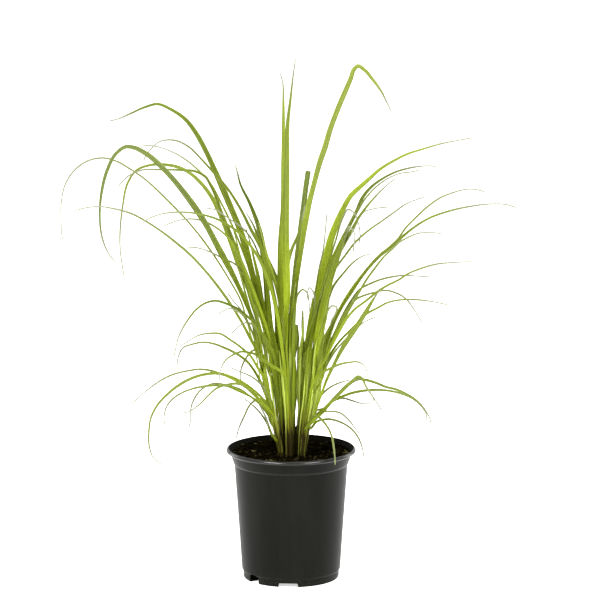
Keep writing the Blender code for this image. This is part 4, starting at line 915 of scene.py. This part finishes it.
class Paint:
    """One material, with short calls for its nodes."""

    def __init__(self, name, **fixed):
        self.material = bpy.data.materials.new(name)
        self.material.use_nodes = True
        self.tree = self.material.node_tree
        self.shader = self.tree.nodes["Principled BSDF"]
        for key, value in fixed.items():
            self.shader.inputs[key.replace("_", " ")].default_value = value

    def link(self, value, socket):
        """Joins an output to a socket, or sets the socket's number."""
        if isinstance(value, bpy.types.NodeSocket):
            self.tree.links.new(value, socket)
        else:
            socket.default_value = value

    def attribute(self, name):
        """A number that the points of the mesh carry."""
        made = self.tree.nodes.new("ShaderNodeAttribute")
        made.attribute_name = name
        return made.outputs["Fac"]

    def place(self):
        """The point on the object, in metres."""
        return self.tree.nodes.new("ShaderNodeTexCoord").outputs["Object"]

    def split(self, vector):
        """The three numbers of a vector."""
        made = self.tree.nodes.new("ShaderNodeSeparateXYZ")
        self.link(vector, made.inputs[0])
        return made.outputs

    def join(self, x, y, z):
        """A vector from three numbers."""
        made = self.tree.nodes.new("ShaderNodeCombineXYZ")
        for value, socket in zip((x, y, z), made.inputs):
            self.link(value, socket)
        return made.outputs[0]

    def step(self, operation, first, second=0.0):
        """One step of arithmetic."""
        made = self.tree.nodes.new("ShaderNodeMath")
        made.operation = operation
        for value, socket in zip((first, second), made.inputs):
            self.link(value, socket)
        return made.outputs[0]

    def times(self, first, second):
        """The product of two numbers."""
        return self.step("MULTIPLY", first, second)

    def plus(self, first, second):
        """The sum of two numbers."""
        return self.step("ADD", first, second)

    def swing(self, noise, reach):
        """Noise as a number that swings about 0."""
        return self.times(self.step("SUBTRACT", noise, 0.5), reach)

    def band(self, value, low, high, to_low=0.0, to_high=1.0):
        """A smooth step from one number to another as the value goes from low to high."""
        made = self.tree.nodes.new("ShaderNodeMapRange")
        made.interpolation_type = "SMOOTHSTEP"
        for each, socket in zip((value, low, high, to_low, to_high), made.inputs):
            self.link(each, socket)
        return made.outputs[0]

    def noise(self, vector, scale, detail=3.0, rough=0.55):
        """Cloudy noise between 0 and 1."""
        made = self.tree.nodes.new("ShaderNodeTexNoise")
        self.link(vector, made.inputs["Vector"])
        made.inputs["Scale"].default_value = scale
        made.inputs["Detail"].default_value = detail
        made.inputs["Roughness"].default_value = rough
        return made.outputs["Fac"]

    def mix(self, share, first, second):
        """Two colours, mixed."""
        made = self.tree.nodes.new("ShaderNodeMix")
        made.data_type = "RGBA"
        self.link(share, made.inputs[0])
        for value, socket in zip((first, second), (made.inputs[6], made.inputs[7])):
            self.link(value if isinstance(value, bpy.types.NodeSocket) else (*value, 1.0), socket)
        return made.outputs[2]

    def finish(self, color, rough, height, distance, strength):
        """The material, with its colour, roughness and relief. Distance is in metres."""
        self.link(color, self.shader.inputs["Base Color"])
        self.link(rough, self.shader.inputs["Roughness"])
        bump = self.tree.nodes.new("ShaderNodeBump")
        bump.inputs["Strength"].default_value = strength
        bump.inputs["Distance"].default_value = distance
        self.link(height, bump.inputs["Height"])
        self.link(bump.outputs["Normal"], self.shader.inputs["Normal"])
        return self.material


def leaf_material(name, light, middle, dark, glow, depth):
    """Long veins in several greens, a pale midrib, a greyer underside, a brown foot and dry ends."""
    paint = Paint(name, Specular_IOR_Level=0.07, Subsurface_Weight=glow, Subsurface_Scale=0.0010,
                  Subsurface_Radius=(1.0, 1.0, 0.35))
    across = paint.attribute("across")
    run = paint.attribute("run")
    tone = paint.attribute("tone")
    seed = paint.times(tone, 91.0)

    def streaks(wide, long, detail=3.0):
        """Noise in streaks along the blade, finer for greater numbers."""
        return paint.noise(paint.join(paint.times(across, wide), paint.times(run, long), seed), 1.0, detail)

    veins = streaks(17.0, 0.012)
    broad = streaks(1.6, 0.02)
    fine = streaks(6.0, 0.25, 4.0)
    bars = streaks(2.8, 0.008, 1.0)

    shade = paint.plus(tone, paint.swing(broad, 0.8))
    color = paint.mix(paint.band(shade, 0.0, 0.6), dark, middle)
    color = paint.mix(paint.band(shade, 0.5, 1.0), color, light)
    color = paint.mix(paint.band(veins, 0.40, 0.75, 0.0, depth), color, dark)
    color = paint.mix(paint.band(fine, 0.55, 0.85, 0.0, 0.3), color, light)
    color = paint.mix(paint.band(paint.step("ABSOLUTE", across), 0.13, 0.02, 0.0, 0.5), color, MIDRIB)
    tints = ("under", 0.30, UNDERSIDE), ("pale", 0.42, PALE_GREEN), ("tail", 0.85, TAIL_GREY)
    for key, share, tint in tints:
        color = paint.mix(paint.times(paint.attribute(key), share), color, tint)
    foot = paint.plus(paint.attribute("base"), paint.swing(bars, 2.4))
    color = paint.mix(paint.band(foot, 0.25, 0.70, 0.0, 0.80), color, FOOT_OLIVE)
    color = paint.mix(paint.band(foot, 0.62, 1.05, 0.0, 0.95), color, FOOT_DARK)
    ends = paint.plus(paint.attribute("dry"), paint.swing(fine, 0.3))
    color = paint.mix(paint.band(ends, 0.30, 0.90, 0.0, 0.8), color, DRY_TAN)
    ribs = paint.step("SINE", paint.times(across, 60.0))
    height = paint.plus(paint.times(ribs, 0.35), veins)
    return paint.finish(color, paint.band(fine, 0.2, 0.8, 0.42, 0.58), height, 0.00025, 0.35)


def pot_material(name, specular, gloss):
    """Black moulded plastic with a faint grain, smears and scuffs. Gloss is its least roughness."""
    paint = Paint(name, Specular_IOR_Level=specular)
    place = paint.place()
    x, y, z = paint.split(place)
    grain = paint.noise(place, 2600.0, 2.0)
    smear = paint.noise(paint.join(x, y, paint.times(z, 0.25)), 34.0, 5.0, 0.6)
    speck = paint.noise(place, 420.0, 4.0, 0.7)
    low = paint.band(z, 0.030, 0.0)
    color = paint.mix(paint.band(smear, 0.35, 0.75), PLASTIC, SMEARED)
    color = paint.mix(paint.times(low, paint.band(speck, 0.5, 0.8, 0.0, 0.5)), color, MUD)
    color = paint.mix(paint.band(speck, 0.70, 0.86, 0.0, 0.5), color, SCUFF)
    rough = paint.band(smear, 0.3, 0.75, gloss, gloss + 0.08)
    height = paint.plus(grain, paint.times(smear, 0.6))
    return paint.finish(color, rough, height, 0.0001, 0.22)


def soil_material():
    """Damp near-black potting mix; each chip has a tone of its own, up to tan bark."""
    paint = Paint("soil_dark", Specular_IOR_Level=0.0)
    place = paint.place()
    tone = paint.attribute("tone")
    crumbs = paint.noise(place, 520.0, 5.0, 0.65)
    patches = paint.noise(place, 75.0, 3.0)
    color = paint.mix(paint.band(patches, 0.35, 0.7), MIX_DARK, MIX_LIGHT)
    color = paint.mix(paint.band(crumbs, 0.58, 0.80, 0.0, 0.7), color, CRUMB)
    color = paint.mix(paint.band(tone, 0.55, 0.85), color, CHIP)
    color = paint.mix(paint.band(tone, 0.90, 1.0), color, BARK)
    rough = paint.band(crumbs, 0.3, 0.7, 0.72, 0.96)
    return paint.finish(color, rough, crumbs, 0.0006, 0.8)


# Pot and soil.


def rounded(outline):
    """An outline with each inner corner turned into a short arc."""
    points = [np.array(point, dtype=float) for point in outline]
    smooth = [points[0]]
    for before, corner, after in zip(points, points[1:], points[2:]):
        back = before - corner
        ahead = after - corner
        near = min(CORNER_REACH, 0.42 * np.linalg.norm(back), 0.42 * np.linalg.norm(ahead))
        enter = corner + back / np.linalg.norm(back) * near
        leave = corner + ahead / np.linalg.norm(ahead) * near
        for t in CORNER_SHARES:
            smooth.append(enter * (1 - t) ** 2 + corner * 2 * t * (1 - t) + leave * t**2)
    smooth.append(points[-1])
    return [(float(radius), float(height)) for radius, height in smooth]


def turned_faces(rings):
    """Faces between rings of point numbers. A ring of one point closes the solid on its axis."""
    faces = []
    for low, high in zip(rings, rings[1:]):
        count = max(len(low), len(high))
        for side in range(count):
            after = (side + 1) % count
            if len(low) == 1:
                faces.append((low[0], high[after], high[side]))
            elif len(high) == 1:
                faces.append((low[side], low[after], high[0]))
            else:
                faces.append((low[side], low[after], high[after], high[side]))
    return faces


def turned_part(outline, sides, tone=0.0):
    """A part turned round the upright axis from an outline that starts and ends on the axis."""
    points = []
    rings = []
    for radius, height in outline:
        if radius == 0.0:
            rings.append([len(points)])
            points.append((0.0, 0.0, height))
            continue
        rings.append(list(range(len(points), len(points) + sides)))
        for side in range(sides):
            angle = 2 * math.pi * side / sides
            points.append((radius * math.cos(angle), radius * math.sin(angle), height))
    return Part(np.array(points), turned_faces(rings), {"tone": np.full(len(points), tone)})


def inner_radius(height):
    """The radius of the pot's hollow at a height."""
    share = (height - FOOT_HEIGHT) / (NECK_BOTTOM - FOOT_HEIGHT)
    return between((WALL_BOTTOM_RADIUS, NECK_BOTTOM_RADIUS - LEDGE), share) - WALL


def pot_outline():
    """The pot's outline, from the middle of the underside, up the outside, and down the inside."""
    rim_top = POT_HEIGHT
    rim_low = POT_HEIGHT - RIM_DEPTH
    rim_inside = RIM_RADIUS - RIM_WIDTH
    return [
        (0.0, 0.0),
        (FOOT_RADIUS - 0.8, 0.0),
        (FOOT_RADIUS, 0.8),
        (FOOT_RADIUS + 0.5, FOOT_HEIGHT - 1.0),
        (WALL_BOTTOM_RADIUS, FOOT_HEIGHT + 0.8),
        (WALL_BOTTOM_RADIUS + 3.2, FOOT_HEIGHT + 49.0),
        (NECK_BOTTOM_RADIUS - LEDGE, NECK_BOTTOM - 1.5),
        (NECK_BOTTOM_RADIUS, NECK_BOTTOM - 0.3),
        (NECK_BOTTOM_RADIUS + 0.5, NECK_BOTTOM + 2.0),
        (NECK_TOP_RADIUS, rim_low - 2.2),
        (NECK_TOP_RADIUS + 1.4, rim_low + 0.2),
        (RIM_RADIUS - 1.0, rim_low + 0.4),
        (RIM_RADIUS, rim_low + 1.6),
        (RIM_RADIUS, rim_top - 3.0),
        (RIM_RADIUS - 0.5, rim_top - 1.7),
        (RIM_RADIUS - 1.5, rim_top - 0.5),
        (RIM_RADIUS - 2.7, rim_top),
        (rim_inside + 0.5, rim_top - 0.5),
        (rim_inside, rim_top - 1.8),
        (NECK_TOP_RADIUS - WALL + 0.2, rim_low - 2.0),
        (inner_radius(NECK_BOTTOM) + 0.6, NECK_BOTTOM),
        (inner_radius(FOOT_HEIGHT), FOOT_HEIGHT),
        (FOOT_RADIUS - WALL - 0.2, FLOOR),
        (0.0, FLOOR),
    ]


def drain_cutter(bearing, size):
    """An arched block that cuts the foot of the pot. It sticks out under the foot and outside the wall."""
    width, height, depth = size
    outline = [(-width / 2, -CUT_BELOW), (width / 2, -CUT_BELOW)]
    corner = min(height * 0.55, width * 0.3)
    for side, quarter in ((1, 0.0), (-1, math.pi / 2)):
        for index in range(ARC_STEPS + 1):
            angle = quarter + math.pi / 2 * index / ARC_STEPS
            offset = side * (width / 2 - corner) + corner * math.cos(angle)
            outline.append((offset, height - corner + corner * math.sin(angle)))
    outward = level_way(bearing)
    across = Vector((-outward.y, outward.x, 0.0))
    points = []
    for distance in (FOOT_RADIUS - depth, WALL_BOTTOM_RADIUS + CUT_OUTSIDE):
        for offset, rise in outline:
            points.append((outward * distance + across * offset + Vector((0.0, 0.0, rise))) * MM)
    mesh = bpy.data.meshes.new("cutter")
    mesh.from_pydata(points, [], tube_faces(2, len(outline)))
    shell = bmesh.new()
    shell.from_mesh(mesh)
    bmesh.ops.recalc_face_normals(shell, faces=shell.faces)
    shell.to_mesh(mesh)
    shell.free()
    return put("cutter", mesh)


def make_pot():
    """The pot, smooth all round, with its drain slots and arches cut out."""
    part = turned_part(rounded(pot_outline()), POT_SIDES)
    # pot_inside, on the faces that look inward, is a duller copy of the same plastic: painted shade for the
    # pot's shaded inside.
    materials = [pot_material("pot_black", 0.05, 0.36), pot_material("pot_rim", 0.35, 0.16),
                 pot_material("pot_ledge", 0.11, 0.30), pot_material("pot_inside", 0.015, 0.62)]
    pot = add_piece("nursery_pot", [(part, 0)], materials, ["pot"], POT_SHARP)
    cutters = [drain_cutter(bearing, SLOT) for bearing in SLOT_BEARINGS]
    cutters += [drain_cutter(bearing, ARCH) for bearing in ARCH_BEARINGS]
    for cutter in cutters:
        change = pot.modifiers.new("cut", "BOOLEAN")
        change.operation = "DIFFERENCE"
        change.solver = "EXACT"
        change.object = cutter
    cut = bpy.data.meshes.new_from_object(pot.evaluated_get(bpy.context.evaluated_depsgraph_get()))
    pot.modifiers.clear()
    cut.name = "nursery_pot"
    pot.data = cut
    for face in pot.data.polygons:
        x, y, z = face.center / MM
        distance = math.hypot(x, y)
        on_rim = distance > RIM_RADIUS - RIM_SHINE and z > POT_HEIGHT - RIM_DEPTH + 0.8
        on_ledge = distance > NECK_BOTTOM_RADIUS - LEDGE and abs(z - NECK_BOTTOM + 0.4) < LEDGE
        inward = face.normal.x * x + face.normal.y * y < 0
        # Inward faces take the dull pot_inside, which is painted shade.
        face.material_index = 1 if on_rim else 2 if on_ledge else 3 if inward else 0
    pot.data.shade_smooth()
    pot.data.set_sharp_from_angle(angle=math.radians(POT_SHARP))
    for cutter in cutters:
        bpy.data.objects.remove(cutter, do_unlink=True)


def soil_height(x, y):
    """The height of the soil: flat round the stalks, higher outside them, low at the pot, and lumpy."""
    distance = math.hypot(x, y)
    height = SOIL_TOP + SOIL_RISE * ease(CLUMP_RADIUS, 62.0, distance)
    height -= 1.3 * ease(66.0, SOIL_EDGE, distance)
    lump = math.sin(x * 0.31) * math.cos(y * 0.27) + 0.6 * math.sin(x * 0.13 + y * 0.41)
    height += SOIL_LUMP * lump * 0.7 * ease(CLUMP_RADIUS - 6.0, CLUMP_RADIUS + 8.0, distance)
    height += 1.5 * noise.noise(Vector((x, y, 3.0)) * 0.16)
    height += 1.0 * noise.noise(Vector((x, y, 9.0)) * 0.42)
    return height + 0.4 * noise.noise(Vector((x, y, 5.0)) * 1.1)


def soil_part():
    """The soil from the pot's floor up, with a crumbly top."""
    outline = [
        (0.0, ARCH[1] + GAP),
        (FOOT_RADIUS - WALL - 0.8, ARCH[1] + GAP),
        (inner_radius(FOOT_HEIGHT) - 0.4, FOOT_HEIGHT),
        (inner_radius(NECK_BOTTOM) - 0.2, NECK_BOTTOM),
        (SOIL_EDGE - 0.5, SOIL_TOP - 2.0),
    ]
    outline += [(SOIL_EDGE * (SOIL_RINGS - ring) / SOIL_RINGS, SOIL_TOP) for ring in range(SOIL_RINGS + 1)]
    part = turned_part(outline, SOIL_SIDES)
    first = len(part.points) - (SOIL_RINGS * SOIL_SIDES + 1)
    for index in range(first, len(part.points)):
        x, y, _ = part.points[index]
        part.points[index, 2] = soil_height(x, y)
    return part


def chips_part():
    """Crumbs, bark chips and root fibres that lie in the soil's surface."""
    dice = random.Random(CHIPS_SEED)
    block = np.array([(-1, -1, -1), (1, -1, -1), (1, 1, -1), (-1, 1, -1),
                      (-1, -1, 1), (1, -1, 1), (1, 1, 1), (-1, 1, 1)], dtype=float) / 2
    sides = [(0, 3, 2, 1), (4, 5, 6, 7), (0, 1, 5, 4), (1, 2, 6, 5), (2, 3, 7, 6), (3, 0, 4, 7)]
    points = []
    faces = []
    tones = []
    for number in range(CHIPS + FIBRES):
        distance = CHIPS_RADIUS * math.sqrt(dice.random())
        bearing = dice.uniform(0.0, 2 * math.pi)
        x, y = distance * math.cos(bearing), distance * math.sin(bearing)
        if number < CHIPS:
            long = dice.uniform(*(CRUMB_LENGTH if dice.random() < CRUMB_SHARE else BARK_LENGTH))
            size = np.array((long, long * dice.uniform(0.35, 0.8), long * dice.uniform(0.2, 0.6)))
            size[2] = min(size[2], MOST_CHIP_HEIGHT)
            tone = dice.random() ** 1.6
            spread = 0.22
        else:
            size = np.array((dice.uniform(*FIBRE_LENGTH), FIBRE_WIDTH, FIBRE_HEIGHT))
            tone = dice.uniform(0.6, 0.97)
            spread = 0.02
        shape = block * size
        shape = shape + np.array([[dice.uniform(-spread, spread) * side for side in size] for _ in block])
        turn = dice.uniform(0.0, math.pi)
        tilt = dice.uniform(-0.5, 0.5) if number < CHIPS else dice.uniform(-0.12, 0.12)
        sine, cosine = math.sin(tilt), math.cos(tilt)
        lean = np.array([[cosine, 0, -sine], [0, 1, 0], [sine, 0, cosine]])
        sine, cosine = math.sin(turn), math.cos(turn)
        spin = np.array([[cosine, -sine, 0], [sine, cosine, 0], [0, 0, 1]])
        shape = shape @ lean.T @ spin.T + np.array((x, y, soil_height(x, y) + 0.15 * size[2]))
        start = len(points)
        points.extend(shape.tolist())
        faces.extend(tuple(corner + start for corner in side) for side in sides)
        tones.extend([tone] * len(block))
    return Part(np.array(points), faces, {"tone": np.array(tones)})


# Camera, lamps and floor, in metres.
FILM_WIDTH_MM = 36.0
STAGE_RADIUS = 18.0
STAGE_SIDES = 96
WHITE = (1.0, 1.0, 1.0, 1.0)

# Each lamp: its name, where it is, where it points, its width and height, and its power.
LAMPS = (
    ("key", (-1.65, -2.05, 2.7), (0, 0, 0.30), (1.8, 1.3), 150.0),
    ("fill", (1.80, -1.90, 2.5), (0, 0, 0.30), (1.45, 1.2), 95.0),
    ("top", (0.4, 0.8, 3.2), (0, 0, 0.30), (1.4, 1.4), 25.0),
    ("back_left", (-2.0, 1.5, 0.9), (0, 0, 0.20), (0.9, 1.5), 14.0),
    ("back_right", (2.0, 1.5, 0.9), (0, 0, 0.20), (0.9, 1.5), 14.0),
)


def put_aimed(name, data, place, way):
    """A camera or lamp at a place, turned so that it looks the given way."""
    made = put(name, data)
    made.location = place
    made.rotation_mode = "QUATERNION"
    made.rotation_quaternion = way.to_track_quat("-Z", "Y")
    return made


def make_camera():
    """The camera at the photograph's angle."""
    data = bpy.data.cameras.new("camera")
    data.sensor_fit = "HORIZONTAL"
    data.sensor_width = FILM_WIDTH_MM
    data.lens = FILM_WIDTH_MM * EYE_DISTANCE / VIEW_WIDTH
    data.clip_start = 0.1
    data.clip_end = 100.0
    place = SHEET_MIDDLE * MM + TO_EYE * (EYE_DISTANCE * MM)
    bpy.context.scene.camera = put_aimed("camera", data, place, -TO_EYE)


def make_lamp(name, place, aim, size, power):
    """A soft rectangular lamp that points at a place."""
    data = bpy.data.lights.new(name, "AREA")
    data.shape = "RECTANGLE"
    data.size, data.size_y = size
    data.energy = power
    put_aimed(name, data, place, Vector(aim) - Vector(place))


def make_stage():
    """A pale floor, a white sky and soft lamps."""
    angles = [2 * math.pi * side / STAGE_SIDES for side in range(STAGE_SIDES)]
    ring = [(STAGE_RADIUS * math.cos(angle), STAGE_RADIUS * math.sin(angle), 0.0) for angle in angles]
    mesh = bpy.data.meshes.new("floor")
    mesh.from_pydata(ring, [], [tuple(range(STAGE_SIDES))])
    paint = Paint("floor_pale", Specular_IOR_Level=0.1, Emission_Color=WHITE, Emission_Strength=0.6)
    cloud = paint.noise(paint.place(), 3.0)
    color = paint.mix(cloud, (0.90, 0.90, 0.895), (0.93, 0.93, 0.925))
    mesh.materials.append(paint.finish(color, 0.9, cloud, 0.001, 0.05))
    floor = put("floor", mesh)
    world = bpy.data.worlds.new("studio")
    world.use_nodes = True
    sky = world.node_tree.nodes["Background"]
    sky.inputs["Color"].default_value = WHITE
    sky.inputs["Strength"].default_value = 1.0
    bpy.context.scene.world = world
    for lamp in LAMPS:
        make_lamp(*lamp)


# The scene.

bpy.context.scene.view_settings.view_transform = "Standard"
make_camera()
make_stage()
make_pot()
soil = [(soil_part(), 0), (chips_part(), 0)]
add_piece("soil_mix", soil, [soil_material()], ["soil"], SOIL_SHARP)
blade_green = leaf_material("blade_green", *BLADE_GREENS, 0.15, 0.4)
# The stalks and inner leaves take the lighter sheath greens, partly painted light against the clump's shade.
sheath_green = leaf_material("sheath_green", *SHEATH_GREENS, 0.12, 0.6)
tones = random.Random(TONES_SEED)
for name, stalk in STALKS.items():
    parts = [(stalk_part(stalk, *STALK_LOOKS[name]), 0)]
    for number, tone, dark, *young in YOUNG_STALKS:
        if name == f"stalk_{number:02}":
            parts.append((stalk_part(Stalk(*young), tone, dark), 0))
    for blade in THIN_LEAVES:
        if blade.stalk == name:
            shape = USUAL._replace(late=HIGH_LATE if blade.start > HIGH_START else 0.0)
            tone, pale = tones.uniform(0.15, 0.50), tones.uniform(0.7, 1.1)
            parts.append((blade_part(blade, tone, pale, grown_in=True, shape=shape), 1))
    for blade, tone in zip(INNER_LEAVES, INNER_TONES):
        if blade.stalk == name:
            parts.append((blade_part(blade, tone, 0.0, grown_in=True, shape=INNER), 0))
    culm = name.replace("stalk", "culm")
    add_piece(culm, parts, [sheath_green, blade_green], [name], PLANT_SHARP)
for name, blade in LEAVES.items():
    shape = USUAL._replace(**SHAPES.get(name, {}))
    part = blade_part(blade, *LEAF_LOOKS[name], cut=name in CUT_LEAVES, shape=shape)
    add_piece(name.replace("leaf", "blade"), [(part, 0)], [blade_green], [name], PLANT_SHARP)
